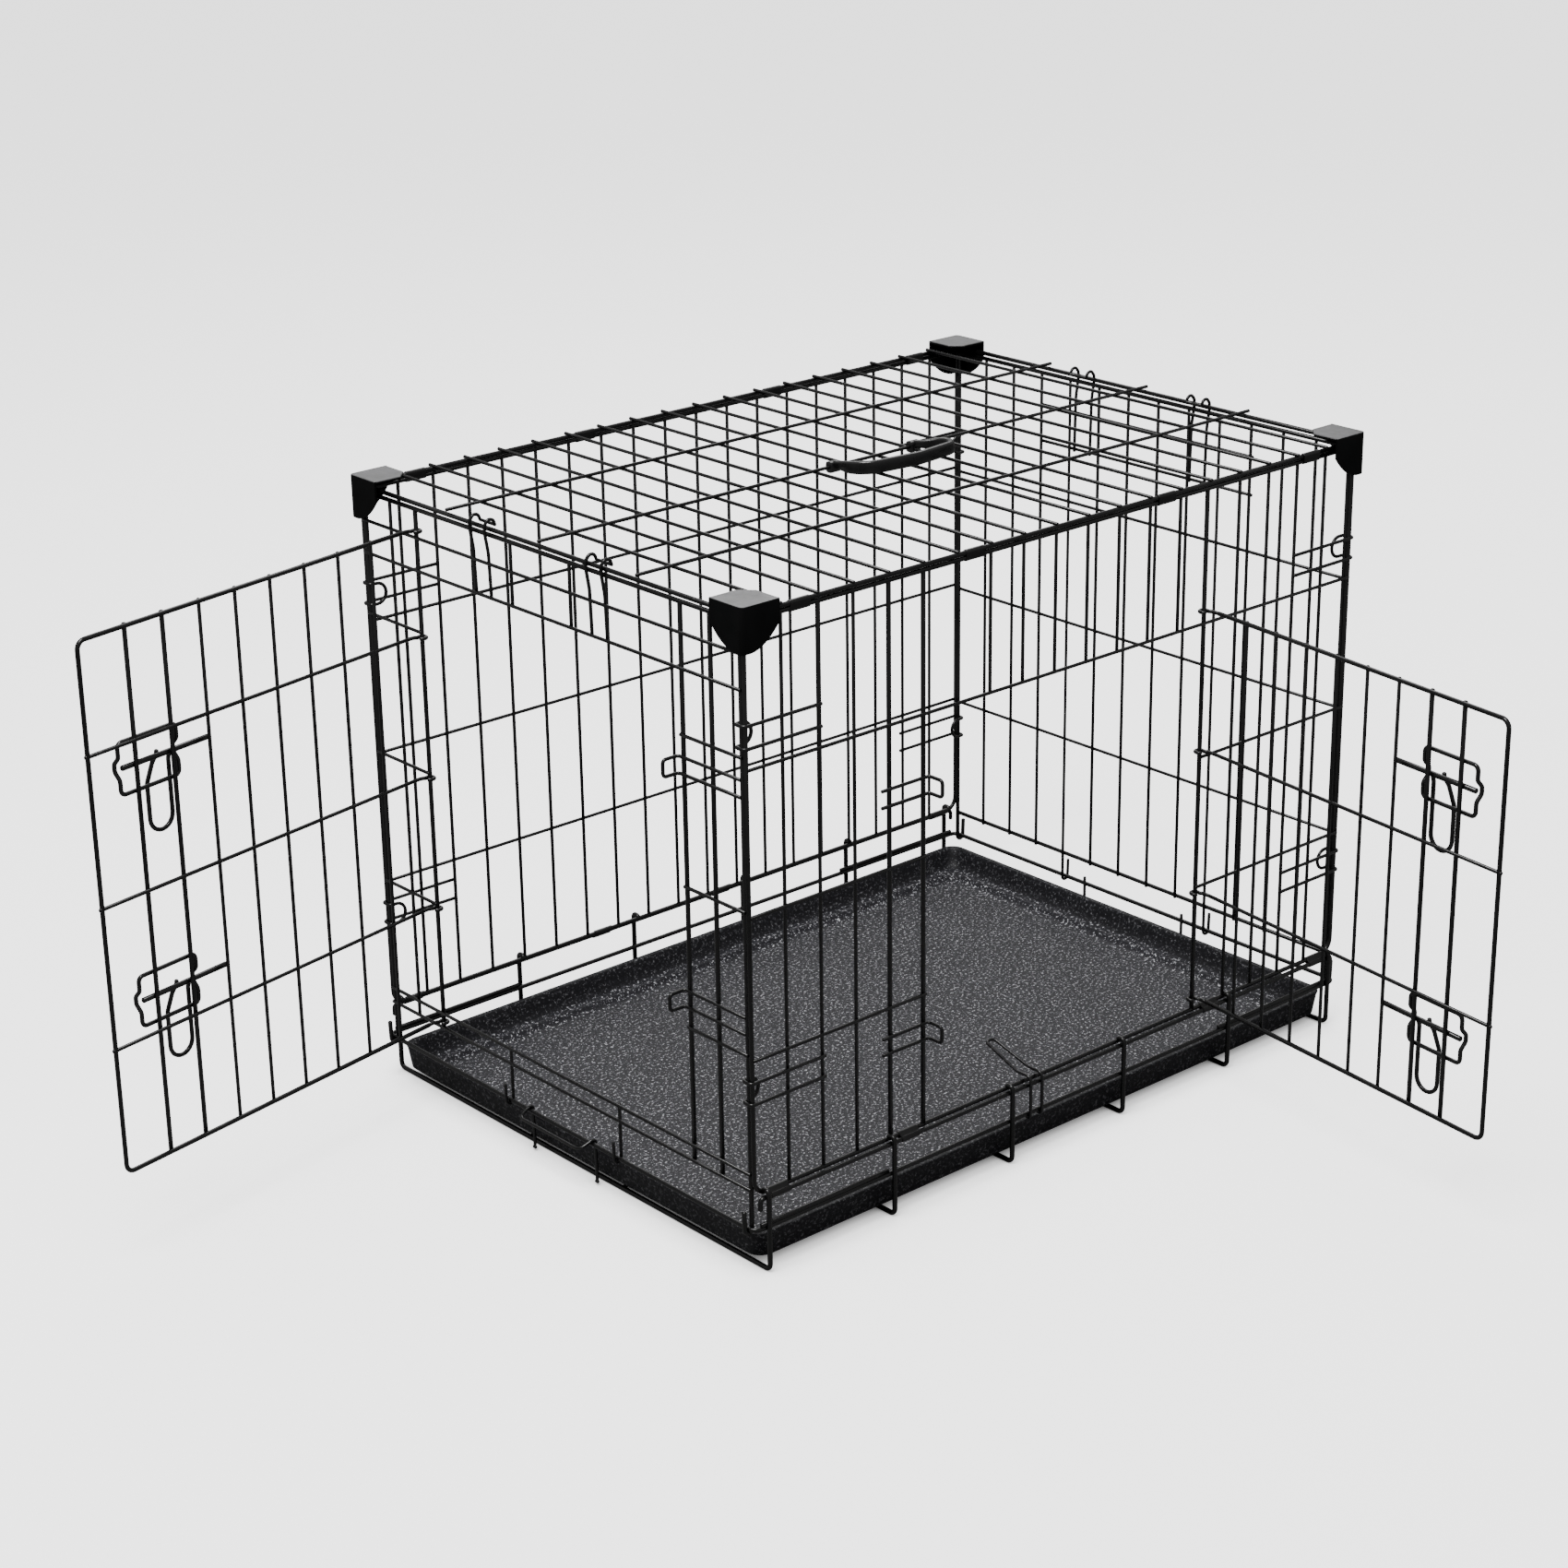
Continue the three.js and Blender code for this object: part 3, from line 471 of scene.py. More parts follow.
# ---- end panels ----
def rail_hook(wires, at, y, top, radius):
    """An upright whose foot comes down inside the end rail, turns under it and up again."""
    turn = END_RAIL_OUT
    line = [at(y, 0, top), at(y, 0, LOWER_RAIL)]
    for a in range(15, 180, 15):
        angle = math.radians(a)
        line.append(at(y, turn - turn * math.cos(angle), LOWER_RAIL - turn * math.sin(angle)))
    line += [at(y, 2 * turn, LOWER_RAIL), at(y, 2 * turn + 0.6, LOWER_RAIL + 18)]
    wires.add(line, radius)


def top_hook(wires, at, y0, y1, bottom):
    """A hairpin that stands on the header and hooks over the top panel's end rod."""
    clear = FRAME + HOOK + GAP + 0.6

    def leg(y):
        lean = fillet([at(y, 0, bottom), at(y, 1.2, END_TOP - 17), at(y, clear, END_TOP + 2)], 40)
        over = fillet([at(y, clear, TOP), at(y, clear, TOP + 3), at(y, 0, TOP + 8.6), at(y, -5.5, TOP + 7),
                       at(y, -7.5, TOP + 2)], 4)
        return lean + over

    wires.add(leg(y0) + leg(y1)[::-1], HOOK)


def end_panel(side):
    wires = Wires()
    plane = 0 if side < 0 else LENGTH

    def at(y, depth, z):
        return V((plane + side * depth, y, z))

    low, high = POSTS
    for y in POSTS:
        rail_hook(wires, at, y, END_TOP, FRAME)
    wires.add([at(low, 0, END_TOP), at(high, 0, END_TOP)], FRAME)
    head = END_TOP + 1
    if side < 0:
        foot, lintel = 78, 535.5
        uprights = [
            (END_JAMB, foot, head, FRAME, 0),
            ((END_JAMB + low) / 2, foot, head, FRAME, 0),
            (END_HINGE, foot, head, FRAME, 0),
            ((END_HINGE + high) / 2, foot, head, GRID, 0),
            (MID - 41, lintel, head, GRID, 0),
            (MID + 43, lintel, head, GRID, 0),
        ]
        rows = [(z, low - STUB, high + STUB, ON_THIN, GRID) for z in (lintel + 2, 569, foot + 2, 95)]
        for z in (208.5, 340.5, 478.5):
            rows.append((z, low - STUB, END_JAMB + STUB, ON_THIN, GRID))
            rows.append((z, END_HINGE - STUB, high + STUB, ON_THIN, GRID))
        hairpins = [(MID - 91, MID - 70, lintel), (MID + 74, MID + 96, lintel)]
        for y in (MID - 84, MID + 78):
            rail_hook(wires, at, y, 97, HOOK)
        for z in END_BOLTS:
            receiver(wires, at, z + 2, low, END_JAMB + 5)
    else:
        uprights = []
        cells = 13
        step = (high - low) / cells
        for i in range(1, cells):
            y = low + i * step
            if i in (4, 9):
                rail_hook(wires, at, y, END_TOP, HOOK)
            else:
                uprights.append((y, 68, head, GRID, 0))
        rows = [(z, low - STUB, high + STUB, ON_THIN, GRID) for z in (201.5, 332.5, 464.5)]
        start, end = low + 3 * step - STUB, low + 10 * step + STUB
        rows += [(z, start, end, ON_THIN, GRID) for z in (522.5, 561)]
        rows.append((70, low - STUB, high + STUB, ON_THICK, FRAME))
        hairpins = [(MID - 84, MID - 64, 520), (MID + 73, MID + 95, 520)]
    grid(wires, at, uprights, rows)
    for y0, y1, bottom in hairpins:
        top_hook(wires, at, y0, y1, bottom)
    for y, *_ in uprights:
        wires.bead(at(y, 0, END_TOP - 0.6), 1.9)
    name = "door_end_panel" if side < 0 else "rear_end_panel"
    wires.finish(name + "_wires", "crate", [name])


end_panel(-1)
end_panel(1)


# ---- doors, built shut in their own frame: X away from the hinge, Y towards the outside ----
DOOR_OFFSET = 6.2  # from the hinge wire's plane to the door's rows
UPRIGHT_FACE = DOOR_OFFSET + GRID + 2 * FRAME - WELD
BOLT_DEPTH = UPRIGHT_FACE + GAP + BOLT
KEEPER_DEPTH = UPRIGHT_FACE + GAP + HOOK
FIRST_WIRE = 50  # from the hinge to the first upright
LAST_WIRE = 53  # from the last upright to the door's free edge
DOOR_UPRIGHTS = 8


def upright_step(width):
    return (width - FIRST_WIRE - LAST_WIRE) / (DOOR_UPRIGHTS - 1)


def door_wires(place, width, rows):
    wires = Wires(place)
    bottom, top = rows[0], rows[-1]
    turn = FRAME + COATS[FRAME] + DOOR_ROW + COATS[DOOR_ROW] - 0.1

    def eye(z):
        """The wire's end, curled round the hinge wire."""
        line = [V((13, DOOR_OFFSET, z)), V((8, DOOR_OFFSET - 0.2, z)), V((4.6, DOOR_OFFSET - 1.3, z))]
        for a in range(50, 351, 15):
            line.append(V((turn * math.cos(math.radians(a)), turn * math.sin(math.radians(a)), z)))
        return line

    outline = fillet([V((13, DOOR_OFFSET, top)), V((width, DOOR_OFFSET, top)),
                      V((width, DOOR_OFFSET, bottom)), V((13, DOOR_OFFSET, bottom))], 8)
    wires.add(outline, FRAME)
    step = upright_step(width)
    for i in range(DOOR_UPRIGHTS):
        x = FIRST_WIRE + i * step
        radius = FRAME if i > 5 else GRID
        y = DOOR_OFFSET + GRID + radius - WELD
        wires.add([V((x, y, bottom - STUB)), V((x, y, top + STUB))], radius)
        for z in rows:
            wires.bead(V((x, DOOR_OFFSET + GRID - 0.1, z)), 1.45 if i < 6 else 1.7)
    for z in rows:
        wires.add(eye(z), DOOR_ROW)
    for z in rows[1:-1]:
        wires.add([V((12, DOOR_OFFSET, z)), V((width + 3, DOOR_OFFSET, z))], DOOR_ROW)
        wires.bead(V((width, DOOR_OFFSET, z)), 2.15)
    return wires


def keeper(place, left, right, z):
    """A closed wire frame on the two thick uprights with a nose over the bolt on each side."""
    nose = BOLT_DEPTH + BOLT + GAP + LATCH + 0.3
    half = 23.5

    def flank(x, s):
        stations = ((KEEPER_DEPTH, half), (KEEPER_DEPTH, 10), (nose, 3.5), (nose, -3.5), (KEEPER_DEPTH, -10),
                    (KEEPER_DEPTH, -half))
        return [V((x, depth, z + s * rise)) for depth, rise in stations]

    wires = Wires(place)
    wires.add(flank(right, 1) + flank(left, -1), LATCH, 5, closed=True)
    return wires


def bolt_handle(place, left, right, z):
    """A hairpin that hangs outside the keeper, with both legs stepping in to meet the bolt."""
    swing = BOLT_DEPTH + BOLT + 3 * HOOK + 3 * GAP + 1
    near = BOLT_DEPTH + BOLT + HOOK + GAP - 1
    wires = Wires(place)
    half = (right - left) / 2
    low = z - 72 + half
    legs = [V((left + 3.5, near, z - 2)), V((left, swing, z - 11)), V((left, swing, low))]
    bend = []
    for a in range(15, 180, 15):
        angle = math.radians(180 + a)
        bend.append(V((left + half + half * math.cos(angle), swing, low + half * math.sin(angle))))
    rest = [V((right, swing, low)), V((right, swing, z - 26)), V((right - 6.5, swing - 1, z - 9)),
            V((right - 8, near, z)), V((right - 8, near - 0.5, z + 4))]
    wires.add(fillet(legs, 5) + bend + fillet(rest, 7), LATCH)
    return wires


def door(prefix, place, width, rows, bolts):
    door_wires(place, width, rows).finish(prefix + "_wires", prefix, [prefix])
    last = width - LAST_WIRE
    left, right = last - upright_step(width) - 8, last + 16
    for z, level in zip(bolts, ("lower", "upper")):
        key = f"{prefix}_{level}_bolt"
        keeper(place, left, right, z).finish(key + "_keeper_wire", prefix, [key + "_keeper"], BOLT_WIRE)
        rod = Wires(place)
        rod.add([V((left - 36, BOLT_DEPTH, z)), V((left + 62, BOLT_DEPTH, z))], BOLT)
        rod.finish(key + "_rod", key + "_body", [key], BOLT_WIRE)
        handle = bolt_handle(place, left + 2.5, left + 28, z)
        handle.finish(key + "_handle_wire", f"{prefix}_{level}_handle_body", [key + "_handle"], BOLT_WIRE)


def placed(pivot, degrees, mirrored):
    flip = Matrix.Diagonal((1, -1 if mirrored else 1, 1, 1))
    return Matrix.Translation(pivot) @ Matrix.Rotation(math.radians(degrees), 4, "Z") @ flip


SIDE_OPEN = 83.6
END_OPEN = 79.7
door("side_door", placed(V((SIDE_HINGE, 0, 0)), 180 + SIDE_OPEN, False), SIDE_HINGE - SIDE_JAMB + 18,
     (86.5, 197, 341, 479), SIDE_BOLTS)
door("end_door", placed(V((0, END_HINGE, 0)), -90 - END_OPEN, True), END_HINGE - END_JAMB + 16,
     (85, 203, 335, 473, 574.5), END_BOLTS)


# ---- base frame ----
def base_frame():
    wires = Wires()
    front, back = -RAIL_OUT, WIDTH + RAIL_OUT
    x0, x1 = -END_RAIL_OUT, LENGTH + END_RAIL_OUT
    corners = [V((x0, front, LOWER_RAIL)), V((x1, front, LOWER_RAIL)), V((x1, back, LOWER_RAIL)),
               V((x0, back, LOWER_RAIL))]
    wires.add(corners, FRAME, 8, closed=True)
    splice = LOWER_RAIL + (2 * FRAME - 0.1)
    near, far = 3, LENGTH - 3
    turned_down = UPPER_RAIL - 11
    for y in (front, back):
        for start, end in ((near, 154), (592, far)):
            wires.add([V((start, y, splice)), V((end, y, splice))], FRAME)
        upper = [V((near, y, turned_down)), V((near, y, UPPER_RAIL)), V((far, y, UPPER_RAIL)),
                 V((far, y, turned_down))]
        wires.add(upper, FRAME, 4)
    out = RAIL_OUT + FRAME + FOOT - 0.7
    axis = FOOT
    for i in range(6):
        x = 0.25 * PITCH + i * (LENGTH - 0.5 * PITCH) / 5

        def curl(y, s):
            top = UPPER_RAIL + 6.2
            return [V((x, y + s * 8.6, top - 4.2)), V((x, y + s * 7.4, top)), V((x, y, top + 0.6))]

        flat = [V((x, -out, axis)), V((x, WIDTH + out, axis))]
        line = curl(-out, 1) + flat + curl(WIDTH + out, -1)[::-1]
        wires.add(line, FOOT, 5.5)
        for y in (-out + FOOT - 0.3, WIDTH + out - FOOT + 0.3):
            for z in (LOWER_RAIL, UPPER_RAIL):
                wires.bead(V((x, y, z)), 2.2)
    stop = x1 - FRAME - HOOK + 0.7
    for y in (MID - 70, MID + 70):
        line = [V((0.25 * PITCH - 2, y, axis)), V((stop, y, axis)), V((stop, y, LOWER_RAIL + 9))]
        wires.add(line, HOOK, 5)
        wires.bead(V((x1 - FRAME, y, LOWER_RAIL)), 1.7)
    wires.finish("base_frame_wires", "crate", ["base_frame"])


base_frame()


# ---- tray ----
def outline(inset, z, radius, box):
    """A rounded rectangle, inset from the tray's box."""
    segments = 8
    (x0, y0), (x1, y1) = box
    points = []
    left, right = x0 + inset + radius, x1 - inset - radius
    near, far = y0 + inset + radius, y1 - inset - radius
    centres = ((right, far, 0), (left, far, 90), (left, near, 180), (right, near, 270))
    for cx, cy, start in centres:
        for k in range(segments + 1):
            a = math.radians(start + 90 * k / segments)
            points.append(V((cx + radius * math.cos(a), cy + radius * math.sin(a), z)))
    return points


def tray():
    low, high = cad_box("tray")
    low, high = low - ORIGIN, high - ORIGIN
    box = ((low.x, low.y), (high.x, high.y))
    base, rim = low.z, high.z
    wall = 29  # height of the profile's rim
    # inset from the outside, height over the tray's underside
    profile = [
        (17, 0), (15.5, 0.3), (7, 3.4), (4.4, 4.1), (3.5, 5.2), (0.8, 25.6), (0.3, 26.6),
        (0, 27.6), (0, 28.3), (0.7, 29), (4.6, 29), (5.4, 28.6), (6.2, 27.4), (8.6, 19),
        (11.2, 13), (14.2, 9.6), (16.6, 8.5), (19.6, 8.2), (21, 8.6), (22.2, 9.3), (23.8, 9.3),
        (25.2, 8.3), (26.8, 6.2), (29, 4.4), (32, 3.4), (36, 3.0),
    ]
    bm = bmesh.new()
    loops = []
    for inset, height in profile:
        radius = max(15 - 0.2 * inset, 9)
        z = base + height * (rim - base) / wall
        loops.append([bm.verts.new(p) for p in outline(inset, z, radius, box)])
    for a, b in zip(loops, loops[1:]):
        bridge(bm, a, b)
    bm.faces.new(loops[0][::-1])
    # The floor face and the innermost bands take the floor's lit copy of the plastic, painted lighter than the
    # walls' shaded copy.
    floor = bm.faces.new(loops[-1])
    floor.material_index = 1
    bm.faces.ensure_lookup_table()
    count = len(loops[0])
    lit_floor_bands = 10  # the innermost ones have the floor's plastic
    for i in range(len(loops) - 1 - lit_floor_bands, len(loops) - 1):
        for k in range(count):
            bm.faces[i * count + k].material_index = 1
    piece(bm, "tray_pan", "tray", ["tray"], TRAY_WALL_SHADED, 50, [TRAY_FLOOR_LIT])


tray()


# ---- tray latch and fold hook ----
def tray_latch():
    """A loop with an eye on each leg round the end rail; the legs reach down to just over the ground."""
    half = 47
    tip = -END_RAIL_OUT - 14

    def leg(y):
        line = [V((-0.3, y, 3.2)), V((0.1, y, 12))]
        rail = V((-END_RAIL_OUT, y, LOWER_RAIL))
        for a in range(-30, 121, 15):
            angle = math.radians(a)
            line.append(rail + V((EYE * math.cos(angle), 0, EYE * math.sin(angle))))
        return line

    low, high = leg(MID - half), leg(MID + half)
    bar = LOWER_RAIL - 2
    corners = [V((tip, MID - half + 2, bar)), V((tip, MID + half - 2, bar))]
    loop = fillet([low[-1], *corners, high[-1]], 7)
    wires = Wires()
    wires.add(low[:-1] + loop + high[:-1][::-1], HOOK)
    for y in (MID - half, MID + half):
        wires.add([V((-0.3, y - 2.2, 3.4)), V((-0.3, y + 2.2, 3.4))], HOOK)
    wires.finish("tray_latch_wire", "tray_latch", ["tray_latch"], BOLT_WIRE)


tray_latch()


def fold_hook():
    """A hairpin whose two ends are eyes round the front base rail, passing over the upper rail inwards."""
    x0, x1 = 8.23 * PITCH, 8.6 * PITCH
    out = -RAIL_OUT - EYE

    def leg(x, lean):
        line = []
        for a in range(345, 179, -15):
            angle = math.radians(a)
            line.append(V((x, -RAIL_OUT + EYE * math.cos(angle), LOWER_RAIL + EYE * math.sin(angle))))
        over = [V((x, out, LOWER_RAIL + 4)), V((x, out, UPPER_RAIL + 9.4)), V((x, 10, UPPER_RAIL + 9)),
                V((x + lean, 50, UPPER_RAIL + 22))]
        return line[:-1] + fillet(over, 6)

    near, far = leg(x0, 2), leg(x1, -2)
    wires = Wires()
    centre = (near[-1] + far[-1]) / 2
    radius = (near[-1] - far[-1]).length / 2
    ahead = V((0, 50 - 10, 13)).normalized()
    across = (near[-1] - centre).normalized()
    tip = []
    for a in range(15, 180, 15):
        angle = math.radians(a)
        tip.append(centre + across * radius * math.cos(angle) + ahead * radius * math.sin(angle) * 0.8)
    wires.add(near + tip + far[::-1], HOOK)
    wires.finish("fold_hook_wire", "fold_hook", ["fold_hook"], BOLT_WIRE)


fold_hook()


# ---- carry handle ----
def section_sweep(bm, points, up, size):
    """A strap of rounded rectangular section along the points; size(share) is its height and thickness."""
    rings = []
    count = len(points)
    for i, point in enumerate(points):
        before, after = points[max(i - 1, 0)], points[min(i + 1, count - 1)]
        along = (after - before).normalized()
        side = along.cross(up).normalized()
        height, thick = size(i / (count - 1))
        corner = min(height, thick) * 0.36
        loop = []
        for sx, sz, start in ((1, 1, 0), (-1, 1, 90), (-1, -1, 180), (1, -1, 270)):
            for k in range(5):
                a = math.radians(start + 22.5 * k)
                dx = sx * (thick / 2 - corner) + corner * math.cos(a)
                dz = sz * (height / 2 - corner) + corner * math.sin(a)
                loop.append(bm.verts.new(point + side * dx + up * dz))
        rings.append(loop)
    for a, b in zip(rings, rings[1:]):
        bridge(bm, a, b)
    bm.faces.new(rings[0][::-1])
    bm.faces.new(rings[-1])


def sleeve(bm, centre, length, inner, outer_y, outer_z):
    """A moulded collar round a wire that runs along X: a rounded block with a bore."""
    segments = 24
    half = length / 2

    def profile(x, y_size, z_size, power):
        loop = []
        for k in range(segments):
            a = 2 * math.pi * k / segments
            c, s = math.cos(a), math.sin(a)
            y = math.copysign(abs(c) ** power, c) * y_size
            z = math.copysign(abs(s) ** power, s) * z_size
            loop.append(bm.verts.new(centre + V((x, y, z))))
        return loop

    edge = 0.8
    loops = [profile(-half, inner, inner, 1), profile(-half, outer_y - edge, outer_z - edge, 0.6),
             profile(-half + edge, outer_y, outer_z, 0.6), profile(half - edge, outer_y, outer_z, 0.6),
             profile(half, outer_y - edge, outer_z - edge, 0.6), profile(half, inner, inner, 1)]
    for a, b in zip(loops, loops[1:] + loops[:1]):
        bridge(bm, a, b)


def carry_handle():
    middle = LENGTH / 2 + 12  # a little nearer the rear end
    reach = 1.27 * PITCH
    lean = math.radians(5)
    lift = 2.2
    up = V((0, math.sin(lean), math.cos(lean)))

    def bow(x, d):
        return V((middle + x, MID - d * math.cos(lean), LONG_Z + lift + d * math.sin(lean)))

    half = reach + 8
    skew = 8  # how far the bow's middle lies towards the rear end
    line = fillet([bow(-reach, 2), bow(-reach, 9), bow(skew - half - 3, 26), bow(skew - half + 7, 45),
                   bow(skew, 53), bow(skew + half - 6, 45), bow(skew + half, 26), bow(reach + 2, 9),
                   bow(reach, 2)], 20)
    dense = []
    for a, b in zip(line, line[1:]):
        parts = max(1, round((b - a).length / 5))
        dense += [a.lerp(b, k / parts) for k in range(parts)]
    dense.append(line[-1])

    def size(share):
        grow = min(1, max(0, (min(share, 1 - share) - 0.02) / 0.16))
        grow = grow * grow * (3 - 2 * grow)
        return 7.4 + 5.2 * grow, 5.2 + 1.2 * grow

    bm = bmesh.new()
    section_sweep(bm, dense, up, size)
    for s in (-1, 1):
        sleeve(bm, V((middle + s * reach, MID, LONG_Z)), 12.5, GRID + 0.3, 4.6, 5.4)
    piece(bm, "carry_handle_grip", "carry_handle", ["carry_handle"], HANDLE, 45)


carry_handle()


# ---- corner caps ----
CAP_SIZE = 41
CAP_OUT = 8  # from the posts' axes to its walls' outer faces
CAP_DEPTH = 41
CAP_WALL = 2.2
CAP_FOOT = 10  # how far from the corner the skirt's lower edge stays flat
CAP_RISE = 10.5  # how far its top stands over the top panel's rods


def skirt_edge(distance):
    """Height of a skirt's lower edge at that distance from the corner: flat, then rising like a shield's."""
    if distance <= CAP_FOOT:
        return 0.0
    a, b, c = V((CAP_FOOT, 0)), V((27, 2)), V((CAP_SIZE, 21))
    low, high = 0.0, 1.0
    for _ in range(30):
        t = (low + high) / 2
        point = a * (1 - t) ** 2 + b * 2 * t * (1 - t) + c * t * t
        if point.x < distance:
            low = t
        else:
            high = t
    return point.y


def corner_cap(far, back):
    """Two skirts that meet in a round corner, and a plate; built at the near corner and mirrored."""
    bm = bmesh.new()
    bend = 4.5
    stations = []
    steps = 15
    for k in range(steps):
        s = CAP_SIZE - (CAP_SIZE - bend) * k / (steps - 1)
        stations.append((V((s, 0)), V((0, 1)), s))
    for k in range(1, 8):
        a = math.radians(90 * k / 8)
        stations.append((V((bend - bend * math.sin(a), bend - bend * math.cos(a))),
                         V((math.sin(a), math.cos(a))), 0))
    for k in range(steps):
        s = bend + (CAP_SIZE - bend) * k / (steps - 1)
        stations.append((V((0, s)), V((1, 0)), s))
    rim = 0.9
    loops = []
    for point, inward, distance in stations:
        edge = skirt_edge(distance)
        section = [(0, edge + 0.6), (0, CAP_DEPTH - rim), (rim * 0.3, CAP_DEPTH - rim * 0.3),
                   (rim, CAP_DEPTH), (CAP_WALL, CAP_DEPTH), (CAP_WALL, edge + 0.6),
                   (CAP_WALL - 0.5, edge), (0.5, edge)]
        loop = []
        for offset, z in section:
            p = point + inward * offset
            loop.append(bm.verts.new((p.x, p.y, z)))
        loops.append(loop)
    for a, b in zip(loops, loops[1:]):
        bridge(bm, a, b)
    bm.faces.new(loops[0][::-1])
    bm.faces.new(loops[-1])
    # the plate, just inside the walls, with its cut corner turned inwards
    chamfer = 12
    inset = 1.0
    size = CAP_SIZE
    flat = [V((inset, inset, 0)), V((size, inset, 0)), V((size, size - chamfer, 0)),
            V((size - chamfer, size, 0)), V((inset, size, 0))]
    flat = fillet(flat, 1.6, closed=True)
    centre = V((size * 0.45, size * 0.45, 0))
    levels = [(CAP_DEPTH - 2.6, 0), (CAP_DEPTH - 0.7, 0), (CAP_DEPTH - 0.05, 0.6)]
    rings = []
    for z, shrink in levels:
        loop = []
        for p in flat:
            inner = p + (centre - p).normalized() * shrink
            loop.append(bm.verts.new((inner.x, inner.y, z)))
        rings.append(loop)
    for a, b in zip(rings, rings[1:]):
        bridge(bm, a, b)
    bm.faces.new(rings[0][::-1])
    bm.faces.new(rings[-1])
    bmesh.ops.translate(bm, verts=bm.verts, vec=V((-CAP_OUT, -CAP_OUT, TOP + CAP_RISE - CAP_DEPTH)))
    if far:
        bm.transform(Matrix.Translation(V((LENGTH, 0, 0))) @ Matrix.Diagonal((-1, 1, 1, 1)))
    if back:
        bm.transform(Matrix.Translation(V((0, WIDTH, 0))) @ Matrix.Diagonal((1, -1, 1, 1)))
    name = f"corner_cap_{'back' if back else 'front'}_{'rear_end' if far else 'door_end'}"
    # The faces on top take the lighter cap colour, a painted sheen from the light above.
    level = TOP + CAP_RISE - 0.5
    for face in bm.faces:
        if face.calc_center_median().z > level:
            face.material_index = 1
    piece(bm, name + "_shell", "crate", [name], CAP_SIDE, 35, [CAP_TOP_PAINTED_SHEEN])


for far in (False, True):
    for back in (False, True):
        corner_cap(far, back)


# ---- crimped clips ----
def clip(name, x, a, b):
    """Sheet metal crimped round two neighbouring wires, pinched in between them."""
    length = 0.55 * PITCH
    inner = FRAME + GAP * 0.5
    sheet = 0.9
    axis = (b - a).normalized()
    across = V((1, 0, 0)).cross(axis)
    span = (b - a).length

    def capsule(radius, pinch):
        points = []
        for k in range(13):
            angle = math.radians(-90 + 15 * k)
            points.append((span + radius * math.cos(angle), radius * math.sin(angle)))
        points.append((span / 2, radius - pinch))
        for k in range(13):
            angle = math.radians(90 + 15 * k)
            points.append((radius * math.cos(angle), radius * math.sin(angle)))
        points.append((span / 2, -radius + pinch))
        return points

    bm = bmesh.new()

    def loop(dx, points):
        return [bm.verts.new(V((x + dx, 0, 0)) + V((0, a.y, a.z)) + axis * u + across * w) for u, w in points]

    half = length / 2
    soft = 0.3
    outer, worn, bore = capsule(inner + sheet, 0.5), capsule(inner + sheet - soft, 0.5), capsule(inner, 0.0)
    loops = [loop(-half, bore), loop(-half, worn), loop(-half + soft, outer), loop(half - soft, outer),
             loop(half, worn), loop(half, bore)]
    for one, two in zip(loops, loops[1:] + loops[:1]):
        bridge(bm, one, two)
    # the sheet's lapped seam
    seam = [V((x - half + 0.6, 0, 0)), V((x + half - 0.6, 0, 0))]
    lift = inner + sheet - 0.15
    line = [V((0, a.y, a.z)) + p - across * lift + axis * (span * 0.85) for p in seam]
    wire(bm, line, 0.45)
    piece(bm, name + "_sleeve", "crate", [name], CLIP, 35)


def clips():
    rows = (
        ("front_top", (1.5, 6.5, 12.5, 17.45), (0, LONG_TOP), (0, TOP)),
        ("back_top", (1.5, 6.5, 12.5, 17.45), (WIDTH, LONG_TOP), (WIDTH, TOP)),
        ("front_base", (0.63, 4.5, 14.45, 18.37), (0, PANEL_BOTTOM), (-RAIL_OUT, UPPER_RAIL)),
        ("back_base", (0.63, 6.5, 10.5, 18.37), (WIDTH, PANEL_BOTTOM), (WIDTH + RAIL_OUT, UPPER_RAIL)),
    )
    for prefix, cells, a, b in rows:
        for i, cell in enumerate(cells, 1):
            clip(f"{prefix}_clip_{i}", cell * PITCH, V((0, *a)), V((0, *b)))


clips()


# ---- floor, light and camera ----
def lit_for_camera(tree, plain, bright):
    """A stage shader that the camera sees as bright and that lights the object as plain."""
    path = tree.nodes.new("ShaderNodeLightPath")
    mix = tree.nodes.new("ShaderNodeMixShader")
    tree.links.new(path.outputs["Is Camera Ray"], mix.inputs["Fac"])
    tree.links.new(plain, mix.inputs[1])
    tree.links.new(bright, mix.inputs[2])
    return mix.outputs["Shader"]


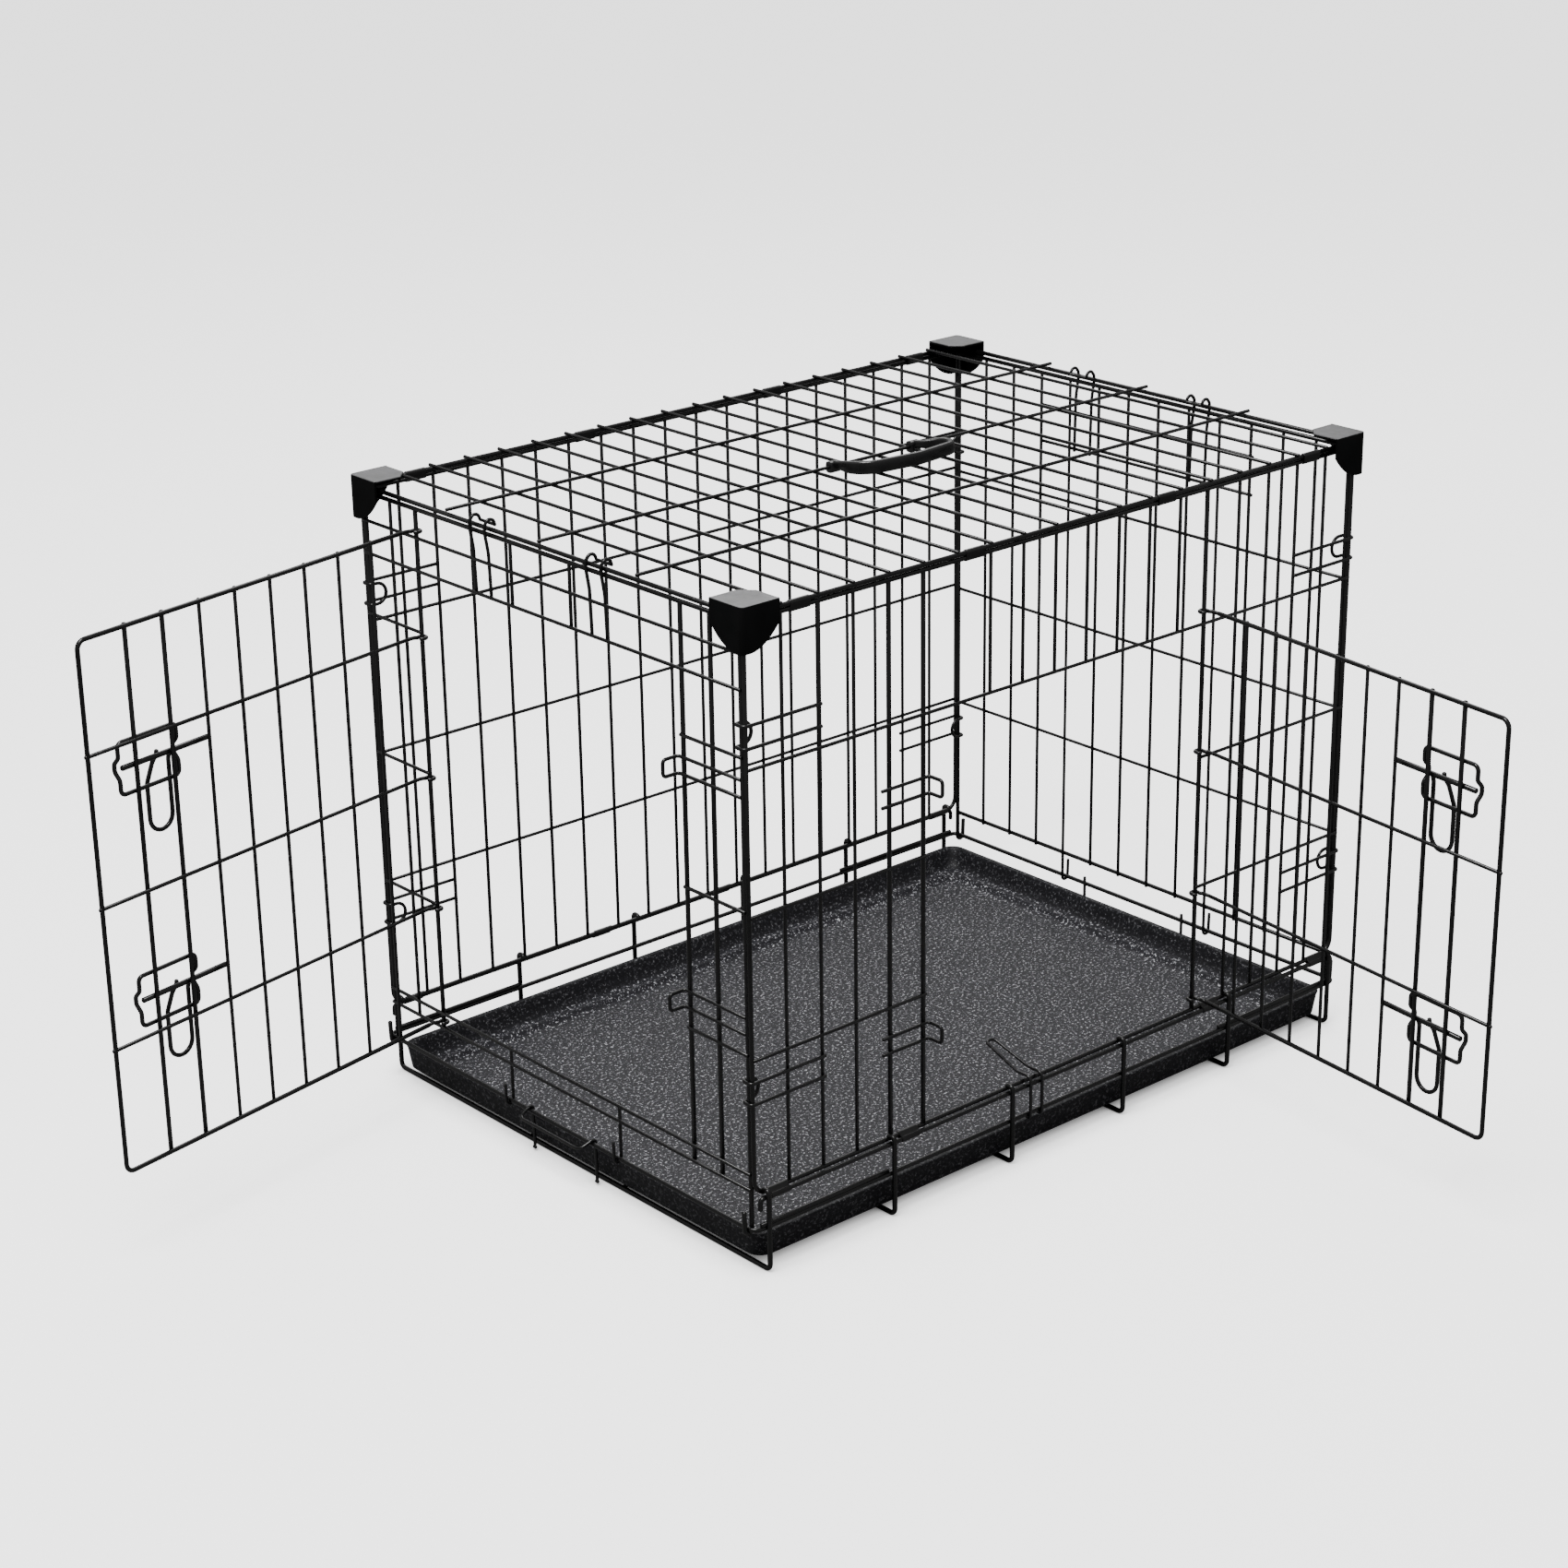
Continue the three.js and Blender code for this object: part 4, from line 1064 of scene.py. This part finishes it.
def studio():
    material, tree, shader, coords = new_material("studio_floor")
    cloud = noise(tree, coords, 0.6, 2)
    tree.links.new(ramp(tree, cloud, [(0.3, grey(0.90)), (0.7, grey(0.93))]), shader.inputs["Base Color"])
    shader.inputs["Roughness"].default_value = 0.9
    shader.inputs["Specular IOR Level"].default_value = 0.0
    glow = tree.nodes.new("ShaderNodeEmission")
    glow.inputs["Strength"].default_value = 1.9
    # Painted contact shadow: the floor's glow is darkened close to what stands on it.
    painted_contact_shadow = tree.nodes.new("ShaderNodeAmbientOcclusion")  # darkens the floor close to what stands on it
    painted_contact_shadow.inputs["Distance"].default_value = 0.035
    tree.links.new(painted_contact_shadow.outputs["Color"], glow.inputs["Color"])
    add = tree.nodes.new("ShaderNodeAddShader")
    tree.links.new(shader.outputs["BSDF"], add.inputs[0])
    tree.links.new(glow.outputs["Emission"], add.inputs[1])
    dim = tree.nodes.new("ShaderNodeBsdfDiffuse")
    dim.inputs["Color"].default_value = (*grey(0.2), 1)
    out = tree.nodes["Material Output"]
    tree.links.new(lit_for_camera(tree, dim.outputs["BSDF"], add.outputs["Shader"]), out.inputs["Surface"])
    bm = bmesh.new()
    bmesh.ops.create_grid(bm, x_segments=4, y_segments=4, size=60)
    mesh = bpy.data.meshes.new("studio_floor")
    bm.to_mesh(mesh)
    bm.free()
    mesh.materials.append(material)
    floor = bpy.data.objects.new("studio_floor", mesh)
    floor.location.z = ground * MM
    bpy.context.scene.collection.objects.link(floor)
    world = bpy.data.worlds.new("studio_world")
    world.use_nodes = True
    background = world.node_tree.nodes["Background"]
    background.inputs["Color"].default_value = (1, 1, 1, 1)
    background.inputs["Strength"].default_value = 0.4
    bpy.context.scene.world = world
    for name, place, size, power in (
        ("key", V((-1.2, -0.4, 3.4)), 1.3, 130),
        ("back", V((1.6, 1.8, 2.6)), 2.0, 45),
    ):
        lamp = bpy.data.lights.new(name, "AREA")
        lamp.size = size
        lamp.energy = power
        thing = bpy.data.objects.new(name, lamp)
        thing.location = place
        thing.rotation_euler = (-place).to_track_quat("-Z", "Y").to_euler()
        bpy.context.scene.collection.objects.link(thing)


def camera():
    data = bpy.data.cameras.new("camera")
    data.sensor_width = 36
    data.lens = 76.196
    data.shift_x = -0.0005
    data.shift_y = -0.0024
    thing = bpy.data.objects.new("camera", data)
    thing.location = (ORIGIN + V((-1645.5, -1942.5, 1435.15))) * MM
    thing.rotation_euler = (math.radians(69.017), math.radians(0.850), math.radians(-41.311))
    data.clip_end = 200
    bpy.context.scene.collection.objects.link(thing)
    bpy.context.scene.camera = thing


studio()
camera()
